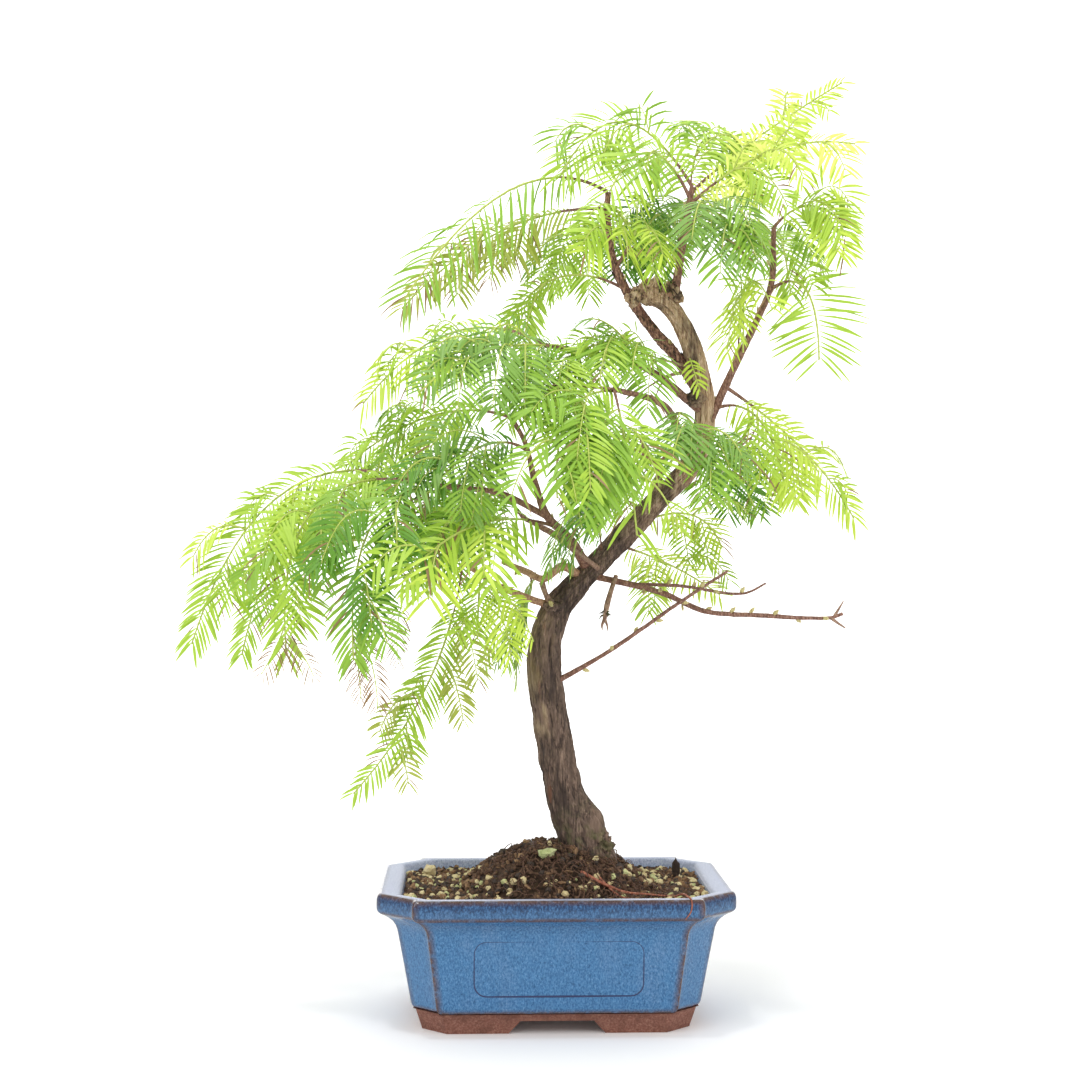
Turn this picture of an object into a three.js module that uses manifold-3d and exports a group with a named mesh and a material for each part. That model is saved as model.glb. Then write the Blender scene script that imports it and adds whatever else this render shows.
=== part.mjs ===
// A dawn redwood (Metasequoia glyptostroboides) grown as a bonsai, in its rectangular glazed pot.
//
// Lengths are millimetres, +Z is up, +X is to the right of the pot and +Y to its back. Every place below is
// measured from the middle of the pot's footprint. The finished group is then moved so that its origin is the
// middle of the whole part's footprint.

import * as THREE from 'three';
import { mergeVertices } from 'three/addons/utils/BufferGeometryUtils.js';
import Module from 'manifold-3d';

const wasm = await Module();
wasm.setup();

// ---- Driving dimensions -----------------------------------------------------------------------------------

const CLEAR = 0.3; // gap between neighbouring pieces

// Pot: half width, half depth, corner cut and how far the long panels stand proud, from the foot to the lip.
const POT_PROFILE = [
  { z: 0, width: 64.5, depth: 42.5, corner: 12, proud: 0 },
  { z: 10, width: 67.5, depth: 46, corner: 12.5, proud: 0.6 },
  { z: 10.5, width: 69, depth: 49, corner: 12.5, proud: 3 },
  { z: 13, width: 69.8, depth: 50, corner: 12.5, proud: 3.2 },
  { z: 46, width: 75.7, depth: 56, corner: 14.5, proud: 3.6 },
  { z: 51, width: 77, depth: 57.4, corner: 15, proud: 3.8 },
  { z: 55.5, width: 80.5, depth: 60.8, corner: 16, proud: 4.2 },
  { z: 58.5, width: 84.5, depth: 64, corner: 17, proud: 4.6 },
  { z: 60.5, width: 86, depth: 65, corner: 17.5, proud: 4.8 },
  { z: 66, width: 86, depth: 65, corner: 17.5, proud: 4.8 },
  { z: 67, width: 85, depth: 64, corner: 17.2, proud: 4.6 },
];
const POT_INSIDE = [
  { z: 16, width: 60, depth: 41, corner: 11, proud: 0 },
  { z: 62, width: 74.5, depth: 55.5, corner: 14.5, proud: 0 },
  { z: 67.5, width: 76.5, depth: 58, corner: 15, proud: 0 },
];
const FOOT = { wall: 9, recess: 6.6, cutHeight: 6.5, cutTop: 17.5, cutBottom: 24, sideShare: 0.6 };
const DRAIN = { radius: 7, apart: 62 };

// Soil: how far it stops under the rim, and the mound that the trunk stands in.
const SOIL_DROP = 3.4;
const MOUND = { height: 85, top: 16, shoulder: 33, foot: 49, x: 1, y: 2 };

// Limbs: centre lines from each limb's parent, and the radius at even steps along the limb.
const LIMBS = {
  trunk: {
    through: [[17, 2, 80], [7, 0, 104], [1.6, -2, 130], [-5, -5, 178], [1, -2, 200], [24, 6, 225],
      [49, 8, 251], [70, 5, 274], [76, 2, 298], [70, -2, 327], [59, -5, 349], [42, -7, 360]],
    radii: [10.5, 8.7, 8.4, 8.6, 7.8, 5.6, 5.6, 4.8, 5.2, 4.6, 4.4, 4], sides: 12, steps: 30,
  },
  leader: {
    from: ['trunk', 0.79], through: [[61, 0, 327], [53, 2, 336], [40, 4, 354], [30, 2, 374], [27, 0, 392],
      [27, -2, 408]],
    radii: [3.2, 2.9, 2.4, 2, 1.5], steps: 9,
  },
  shoot_mid: {
    from: ['trunk', 0.94], through: [[62, -10, 372], [65, -12, 392], [68, -12, 409]],
    radii: [2.8, 1.9, 1.6, 1.3], steps: 6,
  },
  shoot_right: {
    from: ['trunk', 0.71], through: [[84, -1, 308], [100, -9, 343], [107, -12, 361], [108, -14, 389]],
    radii: [2.8, 2.3, 2.1, 1.9, 1.4], steps: 8,
  },
  bough_front_left: {
    from: ['trunk', 0.46], through: [[8, -10, 235], [-4, -18, 247], [-10, -20, 264], [-14, -18, 281],
      [-21, -14, 295]],
    radii: [2.8, 2.3, 1.8, 1.4, 1.1], steps: 9,
  },
  bough_long_left: {
    from: ['bough_front_left', 0.44], through: [[-27, -16, 258], [-51, -8, 261], [-69, 0, 264]],
    radii: [1.8, 1.5, 1.3, 1.1], steps: 5,
  },
  bough_crooked: {
    from: ['trunk', 0.445], through: [[4, -8, 222], [-5, -9, 216], [-13, -2, 219], [-25, 10, 224]],
    radii: [2.5, 2.2, 1.8, 1.3], steps: 7,
  },
  bough_low_left: {
    from: ['trunk', 0.385], through: [[-17, -14, 208], [-28, -18, 213], [-45, -20, 224]],
    radii: [2.2, 1.8, 1.5, 1.1], steps: 6,
  },
  bough_mid_left: {
    from: ['trunk', 0.77], through: [[42, -14, 321], [17, -24, 326], [-5, -30, 329]],
    radii: [2.4, 1.9, 1.5, 1.1], steps: 6,
  },
  bough_front: {
    from: ['trunk', 0.68], through: [[53, -32, 299], [26, -58, 306]],
    radii: [2.4, 1.8, 1.3], steps: 5,
  },
  bough_back: {
    from: ['trunk', 0.575], through: [[56, 34, 270], [50, 58, 280]],
    radii: [2.4, 1.8, 1.3], steps: 5,
  },
  bough_back_left: {
    from: ['trunk', 0.47], through: [[6, 32, 235], [-14, 54, 247]],
    radii: [2.4, 1.8, 1.3], steps: 5,
  },
  twig_bare: {
    from: ['trunk', 0.455], through: [[53, -6, 209], [74, -12, 200], [101, -16, 198], [135, -20, 197],
      [141, -21, 199]],
    radii: [2.2, 1.7, 1.5, 1.3, 0.9], steps: 9,
  },
  twig_bare_upper: {
    from: ['twig_bare', 0.17], through: [[64, 4, 212], [96, 10, 208], [108, 12, 213]],
    radii: [1.1, 0.9, 0.6], steps: 6,
  },
  twig_bare_low: {
    from: ['trunk', 0.26], through: [[27, -18, 181], [61, -24, 205], [84, -24, 220]],
    radii: [1.9, 1.3, 1.1, 0.8], steps: 6,
  },
};
const LIMB_SIDES = 6;

// Foliage: each mass is one arching stem that leaves a limb, arches over a point and ends at its tip, with
// side shoots to its left and right. face is where the sprays' upper side looks: the compass heading in
// degrees, 270 being the front, and how far it tips over from level. sides and long are the count and the
// length of the side shoots, hang is how far the needles sag, and bare is the share of stem without needles.
const USUAL = { needle: 18, hang: 0.3, bare: 0.25, sides: 2, long: 34, face: [270, 55] };
const MASSES = {
  top_left_long: {
    limb: 'leader', at: 1, over: [-22, -12, 407], to: [-74, -28, 350],
    needle: 27, hang: 0.8, bare: 0.14, sides: 0,
  },
  top_left_second: { limb: 'leader', at: 0.93, over: [-26, 15, 391], to: [-76, 18, 352], long: 26 },
  top_left_low: { limb: 'leader', at: 0.58, over: [2, 20, 368], to: [-24, 35, 343], needle: 15, sides: 1 },
  top_arch: {
    limb: 'shoot_mid', at: 1, over: [34, -12, 441], to: [3, -24, 413], needle: 18, hang: 0.5, long: 28,
  },
  top_arch_low: {
    limb: 'shoot_mid', at: 0.9, over: [46, -28, 423], to: [25, -44, 401], needle: 25, sides: 0,
  },
  plume_high: { limb: 'shoot_mid', at: 0.95, over: [101, 8, 436], to: [147, 14, 467], needle: 13, long: 26 },
  plume_low: {
    limb: 'shoot_mid', at: 0.84, over: [104, -24, 424], to: [144, -36, 426], needle: 15, long: 30,
  },
  right_upper: {
    limb: 'shoot_right', at: 1, over: [124, -18, 399], to: [139, -30, 389], needle: 17, sides: 1,
  },
  right_fan: {
    limb: 'shoot_right', at: 0.74, over: [122, -26, 357], to: [127, -34, 322], needle: 29, bare: 0.3, sides: 0,
  },
  inner_right: {
    limb: 'shoot_right', at: 0.42, over: [90, -34, 356], to: [88, -50, 324], long: 28, face: [225, 60],
  },
  inner_front: {
    limb: 'shoot_mid', at: 0.62, over: [76, -40, 392], to: [86, -66, 366], needle: 20, long: 30,
    face: [270, 20],
  },
  inner_left: { limb: 'leader', at: 0.68, over: [38, -30, 388], to: [12, -58, 370], face: [330, 50] },
  inner_low: {
    limb: 'shoot_mid', at: 0.5, over: [54, 14, 400], to: [42, 30, 376], face: [90, 35], sides: 1,
  },
  inner_back: { limb: 'shoot_mid', at: 0.7, over: [68, 38, 408], to: [56, 80, 384], face: [90, 25] },
  leader_back: { limb: 'leader', at: 0.75, over: [20, 42, 395], to: [0, 76, 368], face: [90, 25] },
  right_back: { limb: 'shoot_right', at: 0.82, over: [118, 34, 394], to: [130, 70, 366], face: [90, 15] },
  mid_far_left: { limb: 'bough_mid_left', at: 1, over: [-50, -22, 336], to: [-94, -10, 302], long: 26 },
  mid_left_near: { limb: 'bough_mid_left', at: 0.85, over: [-32, -60, 324], to: [-64, -78, 303] },
  mid_left_low: {
    limb: 'bough_front_left', at: 1, over: [-61, 5, 297], to: [-104, 12, 272], sides: 3, needle: 19,
  },
  mid_left_under: { limb: 'bough_front_left', at: 0.8, over: [-36, -32, 280], to: [-62, -44, 256] },
  mid_upper: {
    limb: 'bough_mid_left', at: 0.3, over: [36, -30, 330], to: [8, -40, 324], sides: 3, face: [270, 40],
  },
  mid_inner: { limb: 'bough_mid_left', at: 0.62, over: [-1, -43, 318], to: [-9, -58, 286], sides: 2 },
  mid_front_droop: { limb: 'bough_front', at: 1, over: [30, -78, 278], to: [35, -82, 237], needle: 24 },
  mid_front_left: { limb: 'bough_front', at: 0.85, over: [6, -70, 296], to: [-2, -90, 254], needle: 20 },
  mid_front_right: { limb: 'bough_front', at: 0.45, over: [63, -46, 292], to: [76, -62, 266], long: 28 },
  mid_right: {
    limb: 'shoot_right', at: 0.2, over: [100, -20, 294], to: [112, -28, 258], needle: 18, long: 30,
  },
  mid_right_far: {
    limb: 'shoot_right', at: 0.3, over: [127, 10, 280], to: [153, 14, 246], needle: 17, long: 28,
  },
  mid_back: { limb: 'bough_back', at: 1, over: [44, 78, 289], to: [28, 94, 254], face: [90, 45], sides: 3 },
  mid_back_right: { limb: 'bough_back', at: 0.7, over: [84, 56, 285], to: [112, 74, 250], face: [90, 45] },
  under_right: {
    limb: 'trunk', at: 0.56, over: [71, 25, 248], to: [89, 38, 231], face: [90, 50], needle: 15,
  },
  under_right_low: {
    limb: 'trunk', at: 0.52, over: [62, 38, 222], to: [90, 55, 206], face: [90, 50], needle: 15,
  },
  low_far_left: {
    limb: 'bough_long_left', at: 1, over: [-135, 2, 258], to: [-178, -8, 184], needle: 20, long: 28,
  },
  low_far_back: { limb: 'bough_long_left', at: 0.7, over: [-122, 38, 250], to: [-160, 48, 175], long: 30 },
  low_left_mid: { limb: 'bough_long_left', at: 0.9, over: [-117, -28, 250], to: [-129, -36, 180] },
  low_left_near: { limb: 'bough_long_left', at: 0.54, over: [-85, -45, 247], to: [-96, -55, 179], sides: 3 },
  low_hanging: {
    limb: 'bough_low_left', at: 1, over: [-62, -16, 165], to: [-98, -22, 112], needle: 14, sides: 3, long: 24,
  },
  low_front: {
    limb: 'bough_front_left', at: 0.36, over: [-39, -48, 242], to: [-74, -70, 214], needle: 22, bare: 0.38,
  },
  low_center: { limb: 'trunk', at: 0.49, over: [16, -28, 250], to: [0, -46, 230], face: [200, 60] },
  low_under: {
    limb: 'bough_crooked', at: 0.7, over: [-12, 24, 204], to: [-28, 32, 172], needle: 14, face: [210, 60],
  },
  low_small: {
    limb: 'bough_low_left', at: 0.8, over: [-37, -38, 211], to: [-38, -50, 188], needle: 13, sides: 1,
  },
  low_back: {
    limb: 'bough_back_left', at: 1, over: [-40, 76, 258], to: [-66, 90, 212], face: [90, 45], sides: 3,
  },
  low_inner: { limb: 'bough_crooked', at: 1, over: [-42, 30, 255], to: [-62, 48, 222], face: [90, 70] },
  top_back: {
    limb: 'shoot_mid', at: 0.88, over: [80, 20, 440], to: [106, 34, 416], face: [270, 30], sides: 3,
  },
};
const STEM = { foot: 1.3, tip: 0.6, sides: 3, step: 14, sunk: 2 };
const SPRAY = {
  pitch: 15, rib: 1.2, slant: 0.42, thick: 1, sideAngle: 50, roll: 24, droop: 0.42, bare: 0.28, lift: 0.12,
};
const TRIES = [1, 0.8, 0.62]; // a side shoot that touches something is tried at these shares of its length

// ---- Colours and finishes ---------------------------------------------------------------------------------

const finish = (color, roughness) => new THREE.MeshStandardMaterial({ color, roughness, metalness: 0 });
const GLAZE = () => finish(0x4c82b4, 0.25);
const EARTH = () => finish(0x3d2c22, 0.95);
const BARK = () => finish(0x5d4d42, 0.85);
const NEEDLES = () => finish(0x86c63c, 0.6);

// ---- Solids -----------------------------------------------------------------------------------------------

const vector = (p) => new THREE.Vector3(...p);
const fraction = (value) => value - Math.floor(value);

// A repeatable number from 0 to 1 for one shoot of one mass.
const chance = (mass, shoot, use) => fraction(
  Math.sin(mass * 12.9898 + shoot * 78.233 + use * 37.719) * 43758.5453,
);

// A closed geometry as a solid. Where an edge has shrunk to a point, the empty triangles on it are dropped.
function solid(geometry) {
  geometry.deleteAttribute('normal');
  geometry.deleteAttribute('uv');
  const merged = mergeVertices(geometry, 1e-4);
  const triangles = [];
  for (let i = 0; i < merged.index.count; i += 3) {
    const [a, b, c] = merged.index.array.slice(i, i + 3);
    if (a !== b && b !== c && c !== a) triangles.push(a, b, c);
  }
  return new wasm.Manifold(new wasm.Mesh({
    numProp: 3,
    vertProperties: new Float32Array(merged.attributes.position.array),
    triVerts: new Uint32Array(triangles),
  }));
}

function mesh(name, body, material) {
  const { vertProperties, triVerts } = body.getMesh();
  const geometry = new THREE.BufferGeometry();
  geometry.setAttribute('position', new THREE.BufferAttribute(new Float32Array(vertProperties), 3));
  geometry.setIndex(new THREE.BufferAttribute(new Uint32Array(triVerts), 1));
  const piece = new THREE.Mesh(geometry, material);
  piece.name = name;
  return piece;
}

// The largest piece of a cut solid; crumbs that a cut leaves behind are dropped.
function largest(body) {
  return body.decompose().reduce((best, piece) => (piece.volume() > best.volume() ? piece : best));
}

// Moves every vertex of a geometry to where place(x, y, z) says.
function warp(geometry, place) {
  const position = geometry.attributes.position;
  for (let i = 0; i < position.count; i += 1) {
    const moved = place(position.getX(i), position.getY(i), position.getZ(i));
    position.setXYZ(i, moved.x, moved.y, moved.z);
  }
  return geometry;
}

// The value at share s, from 0 to 1, of a list of evenly spaced values.
function spread(values, s) {
  const reach = Math.min(Math.max(s, 0), 1) * (values.length - 1);
  const k = Math.min(Math.floor(reach), values.length - 2);
  return THREE.MathUtils.lerp(values[k], values[k + 1], reach - k);
}

// A point on a curve by its share of the length; before 0 and past 1 it runs on straight.
function along(curve, s) {
  const inside = Math.min(Math.max(s, 0), 1);
  const beyond = (s - inside) * curve.getLength();
  return curve.getPointAt(inside).addScaledVector(curve.getTangentAt(inside), beyond);
}

// ---- Pot and soil -----------------------------------------------------------------------------------------

// One quarter of the pot's outline: the side panel's end, the cut corner and the step to the long panel.
function potQuarter({ width, depth, corner, proud }) {
  return [[width, depth - proud - corner], [width - corner, depth - proud], [width - corner, depth]];
}

function potOutline(level) {
  const quarter = potQuarter(level);
  const back = [...quarter].reverse();
  return [
    ...quarter,
    ...back.map(([x, y]) => [-x, y]),
    ...quarter.map(([x, y]) => [-x, -y]),
    ...back.map(([x, y]) => [x, -y]),
  ];
}

// A body whose section changes from level to level; every section has the same number of corners.
function loft(levels) {
  const sections = levels.map(potOutline);
  const base = potOutline({ width: 3, depth: 3, corner: 1, proud: 0.5 });
  const shape = new THREE.Shape(base.map(([x, y]) => new THREE.Vector2(x, y)));
  const steps = levels.length - 1;
  const body = new THREE.ExtrudeGeometry(shape, { depth: steps, steps, bevelEnabled: false });
  return solid(warp(body, (x, y, z) => {
    const level = Math.round(z);
    const corner = base.findIndex((p) => Math.hypot(p[0] - x, p[1] - y) < 0.01);
    return new THREE.Vector3(...sections[level][corner], levels[level].z);
  }));
}

const grown = (level, more) => ({ ...level, width: level.width + more, depth: level.depth + more });

// The opening between two feet: a flat arch with sloping ends, cut right through the foot ring.
function footCut(share, reach) {
  const outline = new THREE.Shape([
    new THREE.Vector2(-FOOT.cutBottom * share, -1), new THREE.Vector2(FOOT.cutBottom * share, -1),
    new THREE.Vector2(FOOT.cutTop * share, FOOT.cutHeight),
    new THREE.Vector2(-FOOT.cutTop * share, FOOT.cutHeight),
  ]);
  const cut = new THREE.ExtrudeGeometry(outline, { depth: 2 * reach, bevelEnabled: false });
  cut.translate(0, 0, -reach);
  return cut.rotateX(Math.PI / 2);
}

function pot() {
  const [ground, ankle] = POT_PROFILE;
  const ring = [
    { ...grown(ground, -FOOT.wall), z: -1 },
    { ...grown(ankle, -FOOT.wall), z: FOOT.recess },
  ];
  let body = loft(POT_PROFILE).subtract(loft(POT_INSIDE)).subtract(loft(ring));
  body = body.subtract(solid(footCut(1, ground.width)));
  body = body.subtract(solid(footCut(FOOT.sideShare, 2 * ground.width).rotateZ(Math.PI / 2)));
  for (const side of [-1, 1]) {
    const drain = new THREE.CylinderGeometry(DRAIN.radius, DRAIN.radius, 40, 20);
    drain.rotateX(Math.PI / 2).translate((side * DRAIN.apart) / 2, 0, 10);
    body = body.subtract(solid(drain));
  }
  return body;
}

function soil() {
  const [floor, , brim] = POT_INSIDE;
  const top = brim.z - SOIL_DROP;
  const share = (top - floor.z) / (brim.z - floor.z);
  const bed = loft([
    { ...grown(floor, -CLEAR - 0.2), z: floor.z + CLEAR },
    {
      z: top,
      width: THREE.MathUtils.lerp(floor.width, brim.width, share) - 1.5,
      depth: THREE.MathUtils.lerp(floor.depth, brim.depth, share) - 1.5,
      corner: brim.corner,
      proud: 0,
    },
  ]);
  const profile = [[0, top - 8], [MOUND.foot, top - 4], [MOUND.foot, top], [MOUND.shoulder, top + 13],
    [MOUND.top, MOUND.height], [0, MOUND.height]];
  const mound = new THREE.LatheGeometry(profile.map(([r, z]) => new THREE.Vector2(r, z)), 20);
  mound.rotateX(Math.PI / 2).translate(MOUND.x, MOUND.y, 0);
  return bed.add(solid(mound)).subtract(limbSolid('trunk', CLEAR));
}

// ---- Limbs ------------------------------------------------------------------------------------------------

// A tapering tube with flat ends along a curve. radius(s, angle) gives its radius at each share of the length.
function tube(curve, radius, sides, steps, clear = 0) {
  const ring = Array.from({ length: sides }, (_, i) => (2 * Math.PI * i) / sides);
  const shape = new THREE.Shape(ring.map((angle) => new THREE.Vector2(Math.cos(angle), Math.sin(angle))));
  const rod = new THREE.ExtrudeGeometry(shape, { depth: steps, steps, bevelEnabled: false });
  const frames = curve.computeFrenetFrames(steps);
  const ends = clear / curve.getLength();
  return solid(warp(rod, (x, y, z) => {
    const k = Math.round(z);
    const s = THREE.MathUtils.lerp(-ends, 1 + ends, k / steps);
    const r = radius(k / steps, Math.atan2(y, x)) + clear;
    return along(curve, s)
      .addScaledVector(frames.normals[k], r * x)
      .addScaledVector(frames.binormals[k], r * y);
  }));
}

const curves = {};
function limbCurve(name) {
  if (!curves[name]) {
    const { from, through } = LIMBS[name];
    const points = through.map(vector);
    if (from) points.unshift(limbCurve(from[0]).getPointAt(from[1]));
    curves[name] = new THREE.CatmullRomCurve3(points, false, 'centripetal');
  }
  return curves[name];
}

// The root flare: the trunk widens over the last centimetre above the soil into four low buttresses.
const FLARE = { width: 0.42, fade: 36, buttresses: 4, swell: 0.14, turn: 0.6 };
const flare = (s, angle) => {
  const near = Math.exp(-s * FLARE.fade);
  return 1 + near * (FLARE.width + FLARE.swell * Math.cos(FLARE.buttresses * angle + FLARE.turn));
};

function limbSolid(name, clear = 0) {
  const { radii, steps, sides = LIMB_SIDES } = LIMBS[name];
  const swell = name === 'trunk' ? flare : () => 1;
  return tube(limbCurve(name), (s, angle) => spread(radii, s) * swell(s, angle), sides, steps, clear);
}

function limb(name) {
  const body = limbSolid(name);
  const { from } = LIMBS[name];
  return from ? largest(body.subtract(limbSolid(from[0], CLEAR))) : body;
}

// ---- Foliage ----------------------------------------------------------------------------------------------

// A curve from start to end that passes over a third point half way.
function arch(start, over, end) {
  const control = over.clone().multiplyScalar(2).sub(start.clone().add(end).multiplyScalar(0.5));
  return new THREE.QuadraticBezierCurve3(start, control, end);
}

// The direction that a spray's upper side looks in.
function facing([heading, tip]) {
  const [turn, lean] = [heading, tip].map(THREE.MathUtils.degToRad);
  return new THREE.Vector3(Math.sin(lean) * Math.cos(turn), Math.sin(lean) * Math.sin(turn), Math.cos(lean));
}

// A flat spray of needles, bent along its stem: a slim rib with a row of flat teeth on both sides, each as deep
// as the rib at its foot and thinning out to a point.
function spray(stem, { from, rib = 0, needle, hang, face }) {
  const length = stem.getLength();
  const run = length * (1 - from);
  const bare = run * rib;
  const teeth = Math.max(3, Math.round((run - bare) / SPRAY.pitch));
  const pitch = (run - bare) / teeth;
  const size = (share) => needle * Math.min(1, 0.55 + 2.5 * share) * (1 - 0.4 * share ** 3);
  const points = [];
  const faces = [];
  const corner = (x, y, z) => {
    const s = from + x / length;
    const ahead = stem.getTangentAt(Math.min(Math.max(s, 0), 1));
    const across = face.clone().cross(ahead).normalize();
    const up = ahead.clone().cross(across);
    const sag = hang * (1 - 0.5 * s) * needle * (y / needle) ** 2;
    const at = along(stem, s).addScaledVector(across, y).addScaledVector(up, z);
    return points.push(at.add(new THREE.Vector3(0, 0, -sag))) - 1;
  };
  const ring = (x) => [[1, 1], [-1, 1], [-1, -1], [1, -1]].map(([side, level]) => corner(
    x, side * SPRAY.rib, (level * SPRAY.thick) / 2,
  ));
  const close = ([a, b, c, d]) => faces.push(a, b, c, a, c, d);
  const taper = (loop, tip) => loop.forEach((v, i) => faces.push(v, loop[(i + 1) % 4], tip));

  const stretches = Array.from({ length: teeth }, (_, i) => {
    const reach = size((i + 0.5) / teeth);
    const foot = bare + i * pitch;
    return { end: foot + pitch, reach, tip: foot + 0.45 * pitch + reach * SPRAY.slant };
  });
  if (bare) stretches.unshift({ end: bare, reach: 0 });
  let last = ring(0);
  close([last[1], last[0], last[3], last[2]]);
  for (const { end, reach, tip } of stretches) {
    const next = ring(end);
    for (let k = 0; k < 4; k += 1) {
      const m = (k + 1) % 4;
      const side = [last[m], next[m], next[k], last[k]];
      if (reach && k % 2) taper(side, corner(tip, k === 3 ? reach : -reach, 0));
      else close(side);
    }
    last = next;
  }
  taper(last, corner(run + needle * 0.3, 0, 0));
  const blade = new THREE.BufferGeometry().setFromPoints(points);
  return solid(blade.setIndex(faces));
}

// The course of a mass's side shoot number k, tried at a share of its full length. The first one is on the
// lower side of the stem, and the others change sides.
function sideShoot(stem, mass, number, k, share) {
  const s = mass.bare + 0.06 + (0.52 * (k + 0.5 * chance(number, k, 1))) / mass.sides;
  const face = facing(mass.face);
  const ahead = stem.getTangentAt(s);
  const across = face.clone().cross(ahead).normalize();
  if (across.z > 0 !== (k % 2 === 1)) across.negate();
  const angle = THREE.MathUtils.degToRad(SPRAY.sideAngle + 14 * (chance(number, k, 2) - 0.5));
  const heading = ahead.clone().multiplyScalar(Math.cos(angle)).addScaledVector(across, Math.sin(angle));
  const length = mass.long * share * (1.1 - 0.4 * s) * (0.9 + 0.25 * chance(number, k, 3));
  const start = stem.getPointAt(s);
  const over = start.clone().addScaledVector(heading, 0.52 * length);
  const end = start.clone().addScaledVector(heading, 0.94 * length);
  over.addScaledVector(face, SPRAY.lift * length);
  end.addScaledVector(face, SPRAY.lift * length);
  end.z -= SPRAY.droop * length * (0.6 + 0.8 * chance(number, k, 4));
  return arch(start, over, end);
}

function near(a, b, clear) {
  const [p, q] = [a.boundingBox(), b.boundingBox()];
  return [0, 1, 2].every((i) => p.min[i] - clear < q.max[i] && q.min[i] - clear < p.max[i]);
}
const touches = (a, b) => near(a, b, CLEAR) && a.minGap(b, 2 * CLEAR) < CLEAR;

// All masses grow together, so that each keeps to its own space: first the stems, then the spray at each
// stem's end, then the side shoots in turn. A shoot that would touch a limb or another mass is cut shorter,
// and is left out if that doesn't clear it.
function foliage(limbs) {
  const masses = Object.entries(MASSES).map(([name, row], number) => {
    const mass = { ...USUAL, ...row };
    const stem = arch(limbCurve(mass.limb).getPointAt(mass.at), vector(mass.over), vector(mass.to));
    const end = mass.bare + STEM.sunk / stem.getLength();
    const bareStem = new THREE.CatmullRomCurve3([0, end / 2, end].map((s) => along(stem, s)));
    const radius = (s) => THREE.MathUtils.lerp(STEM.foot, STEM.tip, s);
    const steps = Math.max(2, Math.round(bareStem.getLength() / STEM.step));
    const twig = tube(bareStem, radius, STEM.sides, steps);
    const body = largest(twig.subtract(limbSolid(mass.limb, CLEAR)));
    return { name, number, mass, stem, body };
  });
  const free = (shoot, owner) => !Object.values(limbs).some((limbBody) => touches(shoot, limbBody))
    && !masses.some((other) => other !== owner && touches(shoot, other.body));
  const add = (owner, makeShoot, shares) => {
    for (const share of shares) {
      const shoot = makeShoot(share);
      const joined = owner.body.add(shoot);
      if (free(shoot, owner) && joined.decompose().length === 1) {
        owner.body = joined;
        return;
      }
    }
  };
  for (const owner of masses) {
    const { mass, stem } = owner;
    add(owner, (share) => spray(stem, {
      from: mass.bare, needle: mass.needle * share, hang: mass.hang, face: facing(mass.face),
    }), TRIES);
  }
  const most = Math.max(...masses.map(({ mass }) => mass.sides));
  for (let k = 0; k < most; k += 1) {
    for (const owner of masses.filter(({ mass }) => k < mass.sides)) {
      const { mass, number, stem } = owner;
      const roll = (k % 2 ? 1 : -1) * SPRAY.roll;
      const face = facing([mass.face[0] + roll, mass.face[1] - roll]);
      add(owner, (share) => spray(sideShoot(stem, mass, number, k, share), {
        from: 0, rib: SPRAY.bare, needle: mass.needle * 0.85, hang: mass.hang, face,
      }), TRIES);
    }
  }
  return masses;
}

// ---- The whole plant --------------------------------------------------------------------------------------

const limbs = Object.fromEntries(Object.keys(LIMBS).map((name) => [name, limb(name)]));
const plant = new THREE.Group();
plant.add(mesh('pot', pot(), GLAZE()), mesh('soil', soil(), EARTH()));
for (const [name, body] of Object.entries(limbs)) plant.add(mesh(name, body, BARK()));
for (const { name, body } of foliage(limbs)) plant.add(mesh(name, body, NEEDLES()));

const box = new THREE.Box3().setFromObject(plant);
const middle = box.getCenter(new THREE.Vector3());
plant.position.set(-middle.x, -middle.y, -box.min.z);
const part = new THREE.Group();
part.add(plant);

export default part;
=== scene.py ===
"""A dawn redwood bonsai in its glazed pot.

Lengths in the tables are millimetres, measured from the middle of the pot's footprint, with +X to the
pot's right, +Y to its back and +Z up. put() turns them into metres in the frame's own place.
"""
import math
from functools import cache, partial

import bmesh
import bpy
import numpy as np
from mathutils import Matrix, Vector, noise


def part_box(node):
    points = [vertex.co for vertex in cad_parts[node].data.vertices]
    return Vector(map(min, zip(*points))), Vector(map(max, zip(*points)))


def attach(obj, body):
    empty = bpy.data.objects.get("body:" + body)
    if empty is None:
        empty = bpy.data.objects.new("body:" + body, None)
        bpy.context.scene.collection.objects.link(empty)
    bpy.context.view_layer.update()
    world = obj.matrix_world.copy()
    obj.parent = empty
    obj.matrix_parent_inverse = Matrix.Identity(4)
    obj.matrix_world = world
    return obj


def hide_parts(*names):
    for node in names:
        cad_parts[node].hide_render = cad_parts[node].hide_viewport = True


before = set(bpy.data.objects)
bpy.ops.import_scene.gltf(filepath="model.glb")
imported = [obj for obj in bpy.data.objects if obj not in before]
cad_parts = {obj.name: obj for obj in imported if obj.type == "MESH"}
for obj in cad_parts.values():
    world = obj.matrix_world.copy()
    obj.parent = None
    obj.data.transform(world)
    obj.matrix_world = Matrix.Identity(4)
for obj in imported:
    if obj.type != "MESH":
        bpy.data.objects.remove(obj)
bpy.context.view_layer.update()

MM = 0.001
pot_low, pot_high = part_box("pot")
POT_AT = np.array([(pot_low.x + pot_high.x) / 2, (pot_low.y + pot_high.y) / 2, 0.0])


def put(points):
    """Plant millimetres to metres in the frame."""
    return np.asarray(points, float) * MM + POT_AT


# ---- The plant's limbs and foliage, as the source has them

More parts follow.
